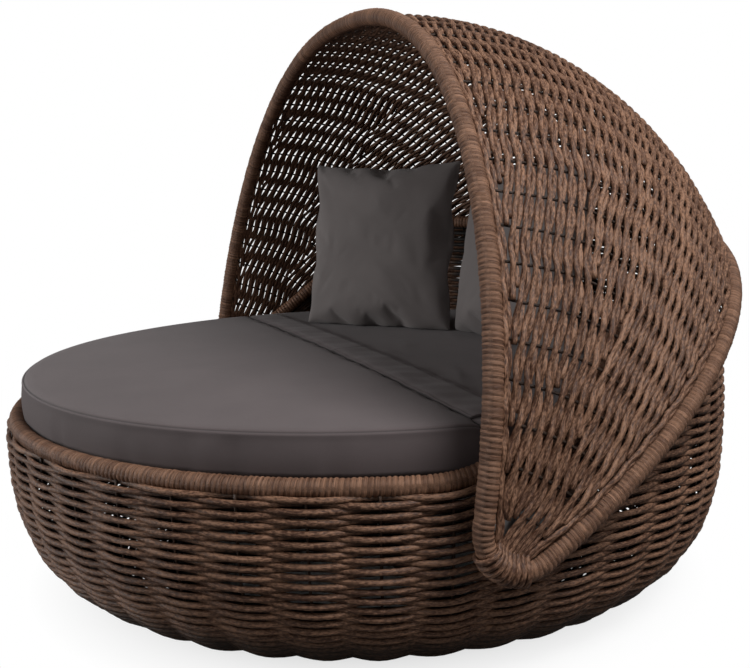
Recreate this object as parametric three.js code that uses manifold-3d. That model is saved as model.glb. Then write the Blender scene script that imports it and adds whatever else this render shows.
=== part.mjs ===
// Outdoor daybed: a round woven bowl with a raised back, and a woven canopy that tips on two side pivots.
// Millimetres, +Z up, +Y to the back. The origin is the middle of the centre glide's underside, on the floor.
import * as THREE from 'three';
import { mergeVertices } from 'three/addons/utils/BufferGeometryUtils.js';
import Module from 'manifold-3d';

const wasm = await Module();
wasm.setup();
const radians = THREE.MathUtils.degToRad;

// Clearances and wicker
const fitGap = 0.3;
const runningGap = 0.5;
const ribWallGap = 0.7;
const deckRingGap = 0.7;
const postWallGap = 0.7;
const restTopGap = 1.8;
const canopyEdgeGap = 1.6;
const cutOverrun = 5;
const wickerThickness = 8;
const weaveRelief = 4;
const canopyReliefShare = 1.6;

// Seat height, to the mattress's top edge, and how far it stands over the rim's centre line
const mattressTopHeight = 483;
const mattressRise = 89;
const seatRimHeight = mattressTopHeight - mattressRise;

// Bowl wall
const bowlRadius = 810;
const bowlFootRadius = 480;
const floorClearance = 12;
const wallHeightPower = 3.12;
const wallRadiusPower = 2.83;
const rimTubeRadius = 18;

// Raised back
const backRiseHeight = 360;
const backBendRadius = 1080;
const backStartAngle = radians(-14);
const backEndAngle = radians(36);

// Canopy pivot
const pivotForward = 75;
const pivotDrop = 54;
const tipRadius = 75;

// Canopy surface
const canopySideClearance = 68;
const canopyBackInset = 36;
const canopyRearRise = 18.3;
const frontAngle = radians(82);
const frontReach = 897;
const middleReach = 944;
const narrowPower = 2;
const frontRoundPower = 2.3;
const rearRoundPower = 2.2;

// Base frame
const frameTubeRadius = 10;
const bottomRingTubeRadius = 12.5;
const ribStakes = [-8, -4, 3, 7];
const pivotPostWidth = 60;
const pivotPostThickness = 8;
const crossBarWidth = 40;
const crossBarDepth = 20;
const crossBarLift = 2;
const centrePostRadius = 20;
const glideRadius = 25;
const glideChamfer = 3;
const glideCount = 6;

// Seat deck
const slatCount = 7;
const slatWidth = 60;
const slatDepth = 18;
const slatOverhang = 6;

// Mattress
const mattressSideClearance = 47;
const mattressThickness = 109;
const mattressFootInset = 18;
const mattressShelfLift = 10;
const mattressCrown = 10;
const mattressSideBulge = 4;
const mattressFrontReach = 13;
const mattressEdgeRadius = 16;
const mattressSeamForward = 87;
const mattressSeamGap = 1;
const bandThickness = 3;
const bandSideMargin = 26;

// Throw pillows, with their places as shares of the bowl's radius
const pillowSize = 450;
const pillowThickness = 140;
const pillowWaist = 24;
const pillowFootWaist = 5;
const pillowFullPower = 0.42;
const leftPillow = { acrossShare: -0.3568, backShare: 0.1889, turn: radians(38), lean: radians(9) };
const rightPillow = { acrossShare: 0.1333, backShare: 0.4259, turn: radians(8), lean: radians(11) };

// Pivot hardware
const studRadius = 7;
const plateRadius = 50;
const plateThickness = 5;
const plateInset = 2;
const sleeveRadius = 15;
const sleeveProud = 1;
const spacerRadius = 24;
const spacerThickness = 4;
const washerRadius = 15;
const washerThickness = 1.5;
const nutRadius = 10.5;
const nutThickness = 5;
const studEnd = 1.5;

// Rear rests that the canopy's back rim sits on
const restSideOffset = 104;
const restWidth = 36;
const restDepth = 34;
const restHeight = 34;

// Stakes and rows of the weave, and facets
const bowlStakes = 42;
const lowerRows = 9;
const upperRows = 4;
const upperRowPower = 1.5;
const rowsPerFrameRow = 3;
const canopyColumns = 36;
const canopyRows = 12;
const tubeSides = 8;
const rimSteps = 2 * bowlStakes;
const padSteps = 60;
const ringSteps = 48;
const roundSides = 16;
const pillowCells = 13;

// Places that follow from the sizes above
const pivotHeight = seatRimHeight - pivotDrop;
const canopyHalfWidth = bowlRadius + canopySideClearance;
const rearRun = bowlRadius - canopyBackInset + pivotForward;
const rearClimb = seatRimHeight + backRiseHeight + canopyRearRise - pivotHeight;
const rearReach = Math.sqrt(rearRun ** 2 + rearClimb ** 2 - tipRadius ** 2);
const rearAngle = Math.atan2(rearClimb, rearRun) + Math.atan2(tipRadius, rearReach);
const facetDip = bowlRadius * (1 - Math.cos(Math.PI / bowlStakes));
const footDip = bowlFootRadius * (1 - Math.cos(Math.PI / bowlStakes));
const bottomRingRadius = bowlFootRadius - footDip - fitGap - bottomRingTubeRadius;
const ribDepth = wickerThickness + ribWallGap + frameTubeRadius;
const deckRingRadius = bowlRadius - ribDepth - 2 * frameTubeRadius - deckRingGap;
const mattressRadius = bowlRadius - mattressSideClearance;
const mattressBottom = mattressTopHeight - mattressThickness;
const mattressShelfHeight = seatRimHeight + mattressShelfLift;
const mattressFootRadius = bowlRadius - 2 * rimTubeRadius - mattressFootInset;
const slatTop = mattressBottom - fitGap;
const slatBottom = slatTop - slatDepth;
const deckRingHeight = slatBottom - fitGap - frameTubeRadius;
const beamBottom = slatBottom - fitGap - crossBarDepth;
const rimTubeCorner = rimTubeRadius / Math.cos(Math.PI / tubeSides);
const wallTopReach = rimTubeRadius - wickerThickness - facetDip;
const wallTopDrop = Math.sqrt(rimTubeCorner ** 2 - wallTopReach ** 2);
const crossBottom = floorClearance + crossBarLift;
const crossTop = crossBottom + crossBarDepth;

// Materials
const material = (color, roughness, metalness = 0) =>
  new THREE.MeshStandardMaterial({ color, roughness, metalness });
const wicker = material(0x5f463a, 0.75);
const wickerRim = material(0x75584a, 0.7);
const frameMetal = material(0x3a322e, 0.5, 0.7);
const slatMetal = material(0x4a4541, 0.5, 0.7);
const plainSteel = material(0x8f9194, 0.4, 0.9);
const nylon = material(0x1d1d1f, 0.6);
const rubber = material(0x222222, 0.9);
const seatFabric = material(0x6c6163, 0.95);
const pillowFabric = material(0x4a4649, 0.95);

const group = new THREE.Group();

// Add one named piece to the daybed
function addPiece(name, geometry, finish, place) {
  const mesh = new THREE.Mesh(geometry, finish);
  mesh.name = name;
  if (place) {
    mesh.position.copy(place);
  }
  group.add(mesh);
  return mesh;
}

// Turn a closed geometry into a solid that can be joined and cut
function toSolid(geometry) {
  const bare = geometry.clone();
  bare.deleteAttribute('normal');
  bare.deleteAttribute('uv');
  const merged = mergeVertices(bare);
  const vertProperties = new Float32Array(merged.attributes.position.array);
  const triVerts = new Uint32Array(merged.index.array);
  return new wasm.Manifold(new wasm.Mesh({ numProp: 3, vertProperties, triVerts }));
}

// Turn a solid back into a geometry
function toGeometry(solid) {
  const mesh = solid.getMesh();
  const geometry = new THREE.BufferGeometry();
  const positions = new Float32Array(mesh.vertProperties);
  geometry.setAttribute('position', new THREE.BufferAttribute(positions, 3));
  geometry.setIndex(new THREE.BufferAttribute(new Uint32Array(mesh.triVerts), 1));
  geometry.computeVertexNormals();
  return geometry;
}

// Closed geometry from points and triangles
function fromFaces(points, faces) {
  const geometry = new THREE.BufferGeometry();
  const coordinates = points.flatMap((point) => [point.x, point.y, point.z]);
  geometry.setAttribute('position', new THREE.Float32BufferAttribute(coordinates, 3));
  geometry.setIndex(faces.flat());
  geometry.computeVertexNormals();
  return geometry;
}

// Flip a geometry's faces when its volume comes out negative
function facingOut(points, faces) {
  let volume = 0;
  for (const [a, b, c] of faces) {
    volume += points[a].dot(new THREE.Vector3().crossVectors(points[b], points[c]));
  }
  return volume < 0 ? faces.map(([a, b, c]) => [a, c, b]) : faces;
}

// Points moved off a grid of middle points, grid[row][column], square to it by a distance for each
function offsetGrid(grid, wraps, distance) {
  const columns = grid[0].length;
  const pick = (row, column) => {
    const c = wraps ? (column + columns) % columns : Math.min(Math.max(column, 0), columns - 1);
    return grid[Math.min(Math.max(row, 0), grid.length - 1)][c];
  };
  return grid.map((line, row) => line.map((point, column) => {
    const alongRow = pick(row, column + 1).clone().sub(pick(row, column - 1));
    const alongColumn = pick(row + 1, column).clone().sub(pick(row - 1, column));
    return point.clone().addScaledVector(alongRow.cross(alongColumn).normalize(), distance(row, column));
  }));
}

// How far a woven wall's outer face stands out: up over every other stake, and level along its edge rows
function basketOffset(row, column, lastRow, reliefShare) {
  const level = row === 0 || row === lastRow;
  return wickerThickness / 2 + (level ? 0 : reliefShare * weaveRelief * (-1) ** (row + column));
}

// Closed wall between an outer and an inner grid, with a whole number of outer rows to each inner one
function wallBetween(outer, inner, wraps) {
  const columns = outer[0].length;
  const at = (side, row, column) => (side * outer.length + row) * columns + column % columns;
  const faces = [];
  const quad = (a, b, c, d, turned) => {
    faces.push(...(turned ? [[a, b, d], [b, c, d]] : [[a, b, c], [a, c, d]]));
  };
  const spans = wraps ? columns : columns - 1;
  const lastOuter = outer.length - 1;
  const lastInner = inner.length - 1;
  for (let column = 0; column < spans; column += 1) {
    const next = column + 1;
    for (let row = 0; row < lastOuter; row += 1) {
      const turned = (row + column) % 2 === 0;
      quad(at(0, row, column), at(0, row, next), at(0, row + 1, next), at(0, row + 1, column), turned);
    }
    for (let row = 0; row < lastInner; row += 1) {
      quad(at(1, row, column), at(1, row + 1, column), at(1, row + 1, next), at(1, row, next));
    }
    quad(at(0, 0, column), at(1, 0, column), at(1, 0, next), at(0, 0, next));
    quad(at(0, lastOuter, column), at(0, lastOuter, next), at(1, lastInner, next), at(1, lastInner, column));
  }
  const each = lastOuter / lastInner;
  for (const column of wraps ? [] : [0, columns - 1]) {
    const fan = (a, b, c) => faces.push(column ? [a, c, b] : [a, b, c]);
    for (let row = 0; row < lastInner; row += 1) {
      for (let i = row * each; i < (row + 1) * each; i += 1) {
        fan(at(0, i, column), at(0, i + 1, column), at(1, row, column));
      }
      fan(at(0, (row + 1) * each, column), at(1, row + 1, column), at(1, row, column));
    }
  }
  const points = [...outer.flat(), ...inner.flat()];
  return fromFaces(points, facingOut(points, faces));
}

// Bar or tube of a convex outline swept along points; outward gives each point's outline x direction
function sweep(path, outline, outward, closed) {
  const points = [];
  const count = path.length;
  path.forEach((point, i) => {
    const before = closed ? path[(i + count - 1) % count] : path[Math.max(i - 1, 0)];
    const after = closed ? path[(i + 1) % count] : path[Math.min(i + 1, count - 1)];
    const tangent = after.clone().sub(before).normalize();
    const out = outward(point, i);
    out.addScaledVector(tangent, -out.dot(tangent)).normalize();
    const side = new THREE.Vector3().crossVectors(tangent, out);
    for (const [u, v] of outline) {
      points.push(point.clone().addScaledVector(out, u).addScaledVector(side, v));
    }
  });
  const sides = outline.length;
  const faces = [];
  const spans = closed ? count : count - 1;
  for (let i = 0; i < spans; i += 1) {
    const next = ((i + 1) % count) * sides;
    for (let k = 0; k < sides; k += 1) {
      const m = (k + 1) % sides;
      faces.push([i * sides + k, i * sides + m, next + m], [i * sides + k, next + m, next + k]);
    }
  }
  if (!closed) {
    const end = (count - 1) * sides;
    for (let k = 1; k < sides - 1; k += 1) {
      faces.push([0, k + 1, k], [end, end + k, end + k + 1]);
    }
  }
  return fromFaces(points, facingOut(points, faces));
}

// Outline of a tube, with flats that stand at its radius in, out, up and down
function roundOutline(radius) {
  const corner = radius / Math.cos(Math.PI / tubeSides);
  return Array.from({ length: tubeSides }, (_, k) => {
    const turn = (k + 0.5) / tubeSides * 2 * Math.PI;
    return [corner * Math.cos(turn), corner * Math.sin(turn)];
  });
}

// Outline of a flat bar, its thickness across and its width along
function barOutline(thickness, width) {
  return [[-1, -1], [1, -1], [1, 1], [-1, 1]].map(([u, v]) => [u * thickness / 2, v * width / 2]);
}

// Point on the bowl's outer wall: 0 at the foot, 1 at the seat rim, above 1 up the raised back
function wallPoint(share) {
  if (share > 1) {
    const rise = (share - 1) * backRiseHeight;
    return { r: bowlRadius - rise ** 2 / (2 * backBendRadius), z: seatRimHeight + rise };
  }
  const turn = share * Math.PI / 2;
  const spread = Math.sin(turn) ** (2 / wallRadiusPower);
  const climb = 1 - Math.max(Math.cos(turn), 0) ** (2 / wallHeightPower);
  return {
    r: bowlFootRadius + (bowlRadius - bowlFootRadius) * spread,
    z: floorClearance + (seatRimHeight - floorClearance) * climb,
  };
}

// The wall share at a height, the inverse of wallPoint
function wallShareAt(z) {
  if (z > seatRimHeight) {
    return 1 + (z - seatRimHeight) / backRiseHeight;
  }
  const left = 1 - (z - floorClearance) / (seatRimHeight - floorClearance);
  return Math.acos(left ** (wallHeightPower / 2)) / (Math.PI / 2);
}

// Wall shares of the rows from the foot to a top share, with one row at the deck ring
function wallShares(top, each = 1) {
  const deckShare = wallShareAt(deckRingHeight);
  const shares = [];
  for (let row = 0; row < lowerRows * each; row += 1) {
    shares.push(deckShare * row / (lowerRows * each));
  }
  for (let row = 0; row <= upperRows * each; row += 1) {
    shares.push(THREE.MathUtils.lerp(deckShare, top, (row / (upperRows * each)) ** upperRowPower));
  }
  return shares;
}

// Point inside the wall by a depth measured square to it
function wallPointInside(share, depth) {
  const step = 1e-4;
  const here = wallPoint(share);
  const before = wallPoint(Math.max(share - step, 0));
  const after = wallPoint(share + step);
  const length = Math.hypot(after.r - before.r, after.z - before.z);
  const normal = { r: (after.z - before.z) / length, z: -(after.r - before.r) / length };
  return { r: here.r - normal.r * depth, z: here.z - normal.z * depth };
}

const aroundAxis = (angle, r, z) => new THREE.Vector3(r * Math.cos(angle), r * Math.sin(angle), z);

// Height of the rim tube's centre line at an angle from +X towards +Y
function rimHeight(angle) {
  const folded = Math.asin(Math.sin(angle));
  const share = THREE.MathUtils.clamp((folded - backStartAngle) / (backEndAngle - backStartAngle), 0, 1);
  return seatRimHeight + backRiseHeight * (1 - Math.cos(Math.PI * share)) / 2;
}

// Centre line of the bowl's rim tube
function rimPoint(angle) {
  const z = rimHeight(angle);
  return aroundAxis(angle, wallPoint(wallShareAt(z)).r - rimTubeRadius, z);
}

// Climb of the rim per unit of level run, on its way up to the raised back
function rimSlope(angle) {
  const step = 1e-3;
  const run = rimPoint(angle + step).sub(rimPoint(angle - step));
  return Math.abs(run.z) / Math.hypot(run.x, run.y);
}

// How far the rim's line sags under a straight run from one stake to the next
function rimSag(angle) {
  const step = 2 * Math.PI / bowlStakes;
  const level = (rimHeight(angle + step) + rimHeight(angle - step)) / 2;
  return Math.max(level - rimHeight(angle), 0) / 3;
}

// Length of the rim per unit of level run
const rimStretch = (angle) => Math.hypot(1, rimSlope(angle));

// Point of the canopy's middle surface: across 0 front to 1 rear, along -1 left tip to 1 right tip
function canopyPoint(across, along, edgeRadius) {
  const lean = THREE.MathUtils.lerp(frontAngle, rearAngle, across);
  const reach = frontReach * (1 - across) * (1 - 2 * across) + rearReach * across * (2 * across - 1)
    + 4 * middleReach * across * (1 - across);
  const offset = edgeRadius * (1 - 2 * across);
  const overrun = Math.sqrt(Math.max(edgeRadius ** 2 - offset ** 2, 0));
  const climb = (reach + overrun) * (1 - along ** 2) - overrun;
  const share = Math.min(Math.max(climb, 0) / reach, 1);
  const power = THREE.MathUtils.lerp(frontRoundPower, rearRoundPower, across);
  const halfWidth = canopyHalfWidth * (1 - share ** narrowPower) ** (1 / power);
  return new THREE.Vector3(
    Math.sign(along) * halfWidth,
    -pivotForward - offset * Math.sin(lean) + climb * Math.cos(lean),
    pivotHeight + offset * Math.cos(lean) + climb * Math.sin(lean),
  );
}

const weaveEdgeRadius = tipRadius - rimTubeRadius - canopyEdgeGap;
const tipHalfWidth = canopyPoint(0.5, 1, tipRadius).x;
const pivotAxisPoint = new THREE.Vector3(0, -pivotForward, pivotHeight);

// Round solid on the pivot axis from one distance off the middle to another, on the right side
function axleRound(from, to, radius) {
  const geometry = new THREE.CylinderGeometry(radius, radius, to - from, roundSides);
  geometry.rotateZ(Math.PI / 2);
  geometry.translate((from + to) / 2, pivotAxisPoint.y, pivotAxisPoint.z);
  return geometry;
}

// Mirror a right-side geometry to the left side
function mirrored(geometry) {
  return toGeometry(toSolid(geometry).mirror([1, 0, 0]));
}

function addPair(name, geometry, finish) {
  addPiece(`${name}_right`, geometry, finish);
  addPiece(`${name}_left`, mirrored(geometry), finish);
}

// Grid of the bowl wall's middle points, with a column at each stake and some rows to each frame row
function bowlGrid(each) {
  const columns = Array.from({ length: bowlStakes }, (_, column) => {
    const angle = column / bowlStakes * 2 * Math.PI;
    const top = wallShareAt(rimHeight(angle) - wallTopDrop * rimStretch(angle) - rimSag(angle));
    return wallShares(top, each).map((share) => {
      const point = wallPointInside(share, wickerThickness / 2);
      return aroundAxis(angle, point.r, point.z);
    });
  });
  return columns[0].map((_, row) => columns.map((column) => column[row]));
}

// Woven bowl wall with its strands' relief on the outside, open at the foot and holed for the pivot sleeves
function bowlWall() {
  const fine = bowlGrid(rowsPerFrameRow);
  const outer = offsetGrid(fine, true, (row, column) => basketOffset(row, column, fine.length - 1, 1));
  const inner = offsetGrid(bowlGrid(1), true, () => -wickerThickness / 2);
  const reach = bowlRadius + weaveRelief + cutOverrun;
  const hole = toSolid(axleRound(-reach, reach, sleeveRadius + runningGap));
  return toSolid(wallBetween(outer, inner, true)).subtract(hole);
}

// Wrapped rim tube that runs round the seat and climbs over the raised back
function addBowlRim() {
  const path = Array.from({ length: rimSteps }, (_, i) => rimPoint(i / rimSteps * 2 * Math.PI));
  const outward = (point) => new THREE.Vector3(point.x, point.y, 0);
  addPiece('bowl_rim', sweep(path, roundOutline(rimTubeRadius), outward, true), wickerRim);
}

// Level ring of tube
function ringTube(radius, tubeRadius, z) {
  const angles = Array.from({ length: ringSteps }, (_, i) => i / ringSteps * 2 * Math.PI);
  const path = angles.map((angle) => aroundAxis(angle, radius, z));
  return sweep(path, roundOutline(tubeRadius), (point) => new THREE.Vector3(point.x, point.y, 0), true);
}

// Path of an upright that follows the wall's inside from the bottom ring to just under the rim
function uprightPath(angle, depth, halfWidth) {
  const rimReach = (rimTubeRadius + fitGap) * rimStretch(angle);
  const top = wallShareAt(rimHeight(angle) - rimReach - rimSlope(angle) * halfWidth);
  return wallShares(top).map((share) => {
    const point = wallPointInside(share, depth);
    return aroundAxis(angle, point.r, point.z);
  });
}

// Round ribs, numbered from the front on the right and then on the left
function addRibs() {
  const ribAngles = ribStakes.map((stake) => stake / bowlStakes * 2 * Math.PI);
  const angles = [...ribAngles, ...ribAngles.map((angle) => Math.PI - angle)];
  angles.forEach((angle, i) => {
    const outward = () => aroundAxis(angle, 1, 0);
    const path = uprightPath(angle, ribDepth, frameTubeRadius);
    addPiece(`rib_${i + 1}`, sweep(path, roundOutline(frameTubeRadius), outward, false), frameMetal);
  });
}

// Flat upright that carries the pivot sleeve
function addPivotPosts() {
  const angle = Math.asin(-pivotForward / bowlRadius);
  const sagitta = pivotPostWidth ** 2 / (8 * bowlRadius);
  const depth = wickerThickness + postWallGap + facetDip + sagitta + pivotPostThickness / 2;
  const path = uprightPath(angle, depth, pivotPostWidth / 2);
  const outline = barOutline(pivotPostThickness, pivotPostWidth);
  const bar = sweep(path, outline, () => aroundAxis(angle, 1, 0), false);
  const hole = toSolid(axleRound(0, bowlRadius, sleeveRadius + fitGap));
  addPair('pivot_post', toGeometry(toSolid(bar).subtract(hole)), frameMetal);
}

// How far a cross bar reaches from the middle to the inside of a ring
function barReach(innerRadius) {
  return innerRadius - crossBarWidth / 2 * Math.tan(Math.PI / ringSteps) - fitGap;
}

// Bottom ring, cross bars and the post under the deck
function addBottomFrame() {
  const ringHeight = floorClearance + bottomRingTubeRadius;
  addPiece('bottom_ring', ringTube(bottomRingRadius, bottomRingTubeRadius, ringHeight), frameMetal);
  const length = 2 * barReach(bottomRingRadius - bottomRingTubeRadius);
  const middle = new THREE.Vector3(0, 0, crossBottom + crossBarDepth / 2);
  const alongX = new THREE.BoxGeometry(length, crossBarWidth, crossBarDepth);
  const alongY = new THREE.BoxGeometry(crossBarWidth, length, crossBarDepth);
  addPiece('bottom_cross', toGeometry(toSolid(alongX).add(toSolid(alongY))), frameMetal, middle);
  const postBottom = crossTop + fitGap;
  const postLength = beamBottom - fitGap - postBottom;
  const post = new THREE.CylinderGeometry(centrePostRadius, centrePostRadius, postLength, roundSides);
  post.rotateX(Math.PI / 2);
  addPiece('centre_post', post, frameMetal, new THREE.Vector3(0, 0, postBottom + postLength / 2));
}

// Plastic glide with a chamfered sole
function glide(height) {
  const sole = [[0, 0], [glideRadius - glideChamfer, 0], [glideRadius, glideChamfer]];
  const profile = [...sole, [glideRadius, height], [0, height]];
  const geometry = new THREE.LatheGeometry(profile.map(([r, z]) => new THREE.Vector2(r, z)), roundSides);
  geometry.rotateX(Math.PI / 2);
  return geometry;
}

function addGlides() {
  for (let i = 0; i < glideCount; i += 1) {
    const angle = (i + 0.5) / glideCount * 2 * Math.PI;
    addPiece(`glide_${i + 1}`, glide(floorClearance - fitGap), nylon, aroundAxis(angle, bottomRingRadius, 0));
  }
  addPiece('centre_glide', glide(crossBottom - fitGap), nylon);
}

// Deck ring on the ribs, a beam across it and slats over both
function addDeck() {
  addPiece('deck_ring', ringTube(deckRingRadius, frameTubeRadius, deckRingHeight), frameMetal);
  const beamLength = 2 * barReach(deckRingRadius - frameTubeRadius);
  const beam = new THREE.BoxGeometry(crossBarWidth, beamLength, crossBarDepth);
  addPiece('deck_beam', beam, frameMetal, new THREE.Vector3(0, 0, beamBottom + crossBarDepth / 2));
  const slatReach = deckRingRadius + slatOverhang;
  const pitch = 2 * slatReach / (slatCount + 1);
  for (let i = 0; i < slatCount; i += 1) {
    const y = (i - (slatCount - 1) / 2) * pitch;
    const halfLength = Math.sqrt(slatReach ** 2 - (Math.abs(y) + slatWidth / 2) ** 2);
    const slat = new THREE.BoxGeometry(2 * halfLength, slatWidth, slatDepth);
    addPiece(`deck_slat_${i + 1}`, slat, slatMetal, new THREE.Vector3(0, y, slatBottom + slatDepth / 2));
  }
}

// Grid of the canopy's middle points, from the front edge to the rear one and from tip to tip
function canopyGrid(rows) {
  return Array.from({ length: rows + 1 }, (_, row) =>
    Array.from({ length: canopyColumns + 1 }, (__, column) =>
      canopyPoint(row / rows, 2 * column / canopyColumns - 1, weaveEdgeRadius)));
}

// Woven canopy, with its strands' relief on the outside
function addCanopyWeave() {
  const fineRows = canopyRows * rowsPerFrameRow;
  const outer = offsetGrid(canopyGrid(fineRows), false, (row, column) => {
    const along = 2 * column / canopyColumns - 1;
    return basketOffset(row, column, fineRows, Math.min(canopyReliefShare * (1 - along ** 2), 1));
  });
  const inner = offsetGrid(canopyGrid(canopyRows), false, () => -wickerThickness / 2);
  addPiece('canopy_weave', wallBetween(outer, inner, false), wicker);
}

// Wrapped rim tube all round the canopy's edge
function addCanopyRim() {
  const stations = [];
  for (let i = 0; i < canopyColumns; i += 1) {
    stations.push([0, 1 - 2 * i / canopyColumns]);
  }
  for (let i = 0; i < tubeSides; i += 1) {
    stations.push([(1 - Math.cos(Math.PI * i / tubeSides)) / 2, -1]);
  }
  for (let i = 0; i < canopyColumns; i += 1) {
    stations.push([1, 2 * i / canopyColumns - 1]);
  }
  for (let i = 0; i < tubeSides; i += 1) {
    stations.push([(1 + Math.cos(Math.PI * i / tubeSides)) / 2, 1]);
  }
  const path = stations.map(([across, along]) => canopyPoint(across, along, tipRadius));
  const edge = stations.map(([across, along]) => canopyPoint(across, along, weaveEdgeRadius));
  const outward = (point, i) => point.clone().sub(edge[i]);
  addPiece('canopy_rim', sweep(path, roundOutline(rimTubeRadius), outward, true), wickerRim);
}

// Stud and plate in each canopy tip, the sleeve it turns in, and what holds it
function addPivots() {
  const wallInside = Math.sqrt((bowlRadius - wickerThickness) ** 2 - pivotForward ** 2);
  const plateOuter = tipHalfWidth - wickerThickness / 2 - plateInset;
  const plateInner = plateOuter - plateThickness;
  const sleeveInner = wallInside - pivotPostThickness - sleeveProud;
  const sleeveOuter = plateInner - spacerThickness - 2 * fitGap;
  const washerInner = sleeveInner - fitGap - washerThickness;
  const nutInner = washerInner - fitGap - nutThickness;
  const bored = (geometry) =>
    toGeometry(toSolid(geometry).subtract(toSolid(axleRound(0, canopyHalfWidth, studRadius + runningGap))));
  const stud = toSolid(axleRound(nutInner - studEnd, plateOuter - plateThickness / 2, studRadius));
  const plate = toSolid(axleRound(plateInner, plateOuter, plateRadius));
  addPair('canopy_pivot', toGeometry(stud.add(plate)), plainSteel);
  addPair('pivot_sleeve', bored(axleRound(sleeveInner, sleeveOuter, sleeveRadius)), plainSteel);
  addPair('pivot_spacer', bored(axleRound(sleeveOuter + fitGap, plateInner - fitGap, spacerRadius)), nylon);
  const washerBody = axleRound(washerInner, washerInner + washerThickness, washerRadius);
  addPair('pivot_washer', bored(washerBody), plainSteel);
  const nutBody = new THREE.CylinderGeometry(nutRadius, nutRadius, nutThickness, 6);
  nutBody.rotateZ(Math.PI / 2);
  nutBody.translate(nutInner + nutThickness / 2, pivotAxisPoint.y, pivotAxisPoint.z);
  addPair('pivot_nut', bored(nutBody), plainSteel);
}

// Rubber rests on the raised back that stop the canopy's rear rim
function addRests(wall) {
  const rearRim = canopyPoint(1, Math.sqrt(1 - rearShareAt(restSideOffset + restWidth / 2)), tipRadius);
  const top = rearRim.z - rimTubeRadius - restTopGap;
  const block = new THREE.BoxGeometry(restWidth, restDepth, restHeight);
  block.translate(restSideOffset, bowlRadius + weaveRelief + restDepth / 2, top - restHeight / 2);
  const inwards = toSolid(block).minGap(wall, bowlRadius) - fitGap;
  block.translate(0, -inwards, 0);
  addPair('rear_rest', block, rubber);
}

// Share of the rear reach at which the canopy's rear rim is a given distance off the middle
function rearShareAt(x) {
  return (1 - (x / canopyHalfWidth) ** rearRoundPower) ** (1 / narrowPower);
}

// Half profile of the round mattress: a foot inside the rim, a fuller side over it and a crowned top
function mattressProfile() {
  const edge = mattressEdgeRadius;
  const profile = [new THREE.Vector2(0, mattressBottom)];
  profile.push(new THREE.Vector2(mattressFootRadius, mattressBottom));
  profile.push(new THREE.Vector2(mattressFootRadius, mattressShelfHeight));
  const middle = (mattressShelfHeight + mattressTopHeight) / 2;
  profile.push(new THREE.Vector2(mattressRadius + mattressSideBulge / 2, (mattressShelfHeight + middle) / 2));
  profile.push(new THREE.Vector2(mattressRadius + mattressSideBulge, middle));
  for (let i = 0; i <= 4; i += 1) {
    const turn = i / 4 * Math.PI / 2;
    const out = mattressRadius - edge * (1 - Math.cos(turn));
    profile.push(new THREE.Vector2(out, mattressTopHeight - edge * (1 - Math.sin(turn))));
  }
  for (let i = 1; i <= 4; i += 1) {
    const share = 1 - i / 4;
    const rise = mattressCrown * (1 - share ** 2);
    profile.push(new THREE.Vector2((mattressRadius - edge) * share, mattressTopHeight + rise));
  }
  return profile;
}

// Box between two corners
function boxBetween(low, high) {
  const size = high.clone().sub(low);
  const box = new THREE.BoxGeometry(size.x, size.y, size.z);
  const middle = low.clone().add(high).multiplyScalar(0.5);
  box.translate(middle.x, middle.y, middle.z);
  return toSolid(box);
}

// The whole round pad before it is split
function mattressPad() {
  const disc = new THREE.LatheGeometry(mattressProfile(), padSteps);
  disc.rotateX(Math.PI / 2);
  return toSolid(disc);
}

// Two mattress pads that meet at a cross seam, and the closure band sewn behind the seam
function addMattress() {
  const pad = mattressPad();
  const reach = mattressRadius + mattressSideBulge + mattressFrontReach + cutOverrun;
  const height = mattressTopHeight + mattressCrown + cutOverrun;
  const half = mattressSeamGap / 2;
  const front = boxBetween(
    new THREE.Vector3(-reach, -reach, 0),
    new THREE.Vector3(reach, -mattressSeamForward - half, height),
  );
  const rear = boxBetween(
    new THREE.Vector3(-reach, -mattressSeamForward + half, 0),
    new THREE.Vector3(reach, reach, height),
  );
  const frontPad = pad.scale([1, 1 + mattressFrontReach / mattressRadius, 1]);
  addPiece('mattress_front', toGeometry(frontPad.intersect(front)), seatFabric);
  addPiece('mattress_rear', toGeometry(pad.intersect(rear)), seatFabric);
  const flatRadius = mattressRadius - mattressEdgeRadius;
  const bandReach = Math.sqrt(flatRadius ** 2 - mattressSeamForward ** 2) - bandSideMargin;
  const strip = boxBetween(
    new THREE.Vector3(-bandReach, -mattressSeamForward + half, mattressTopHeight),
    new THREE.Vector3(bandReach, 0, height + bandThickness),
  );
  const raised = pad.translate([0, 0, fitGap + bandThickness]);
  const band = raised.intersect(strip).subtract(pad.translate([0, 0, fitGap]));
  addPiece('mattress_band', toGeometry(band), seatFabric);
}

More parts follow.
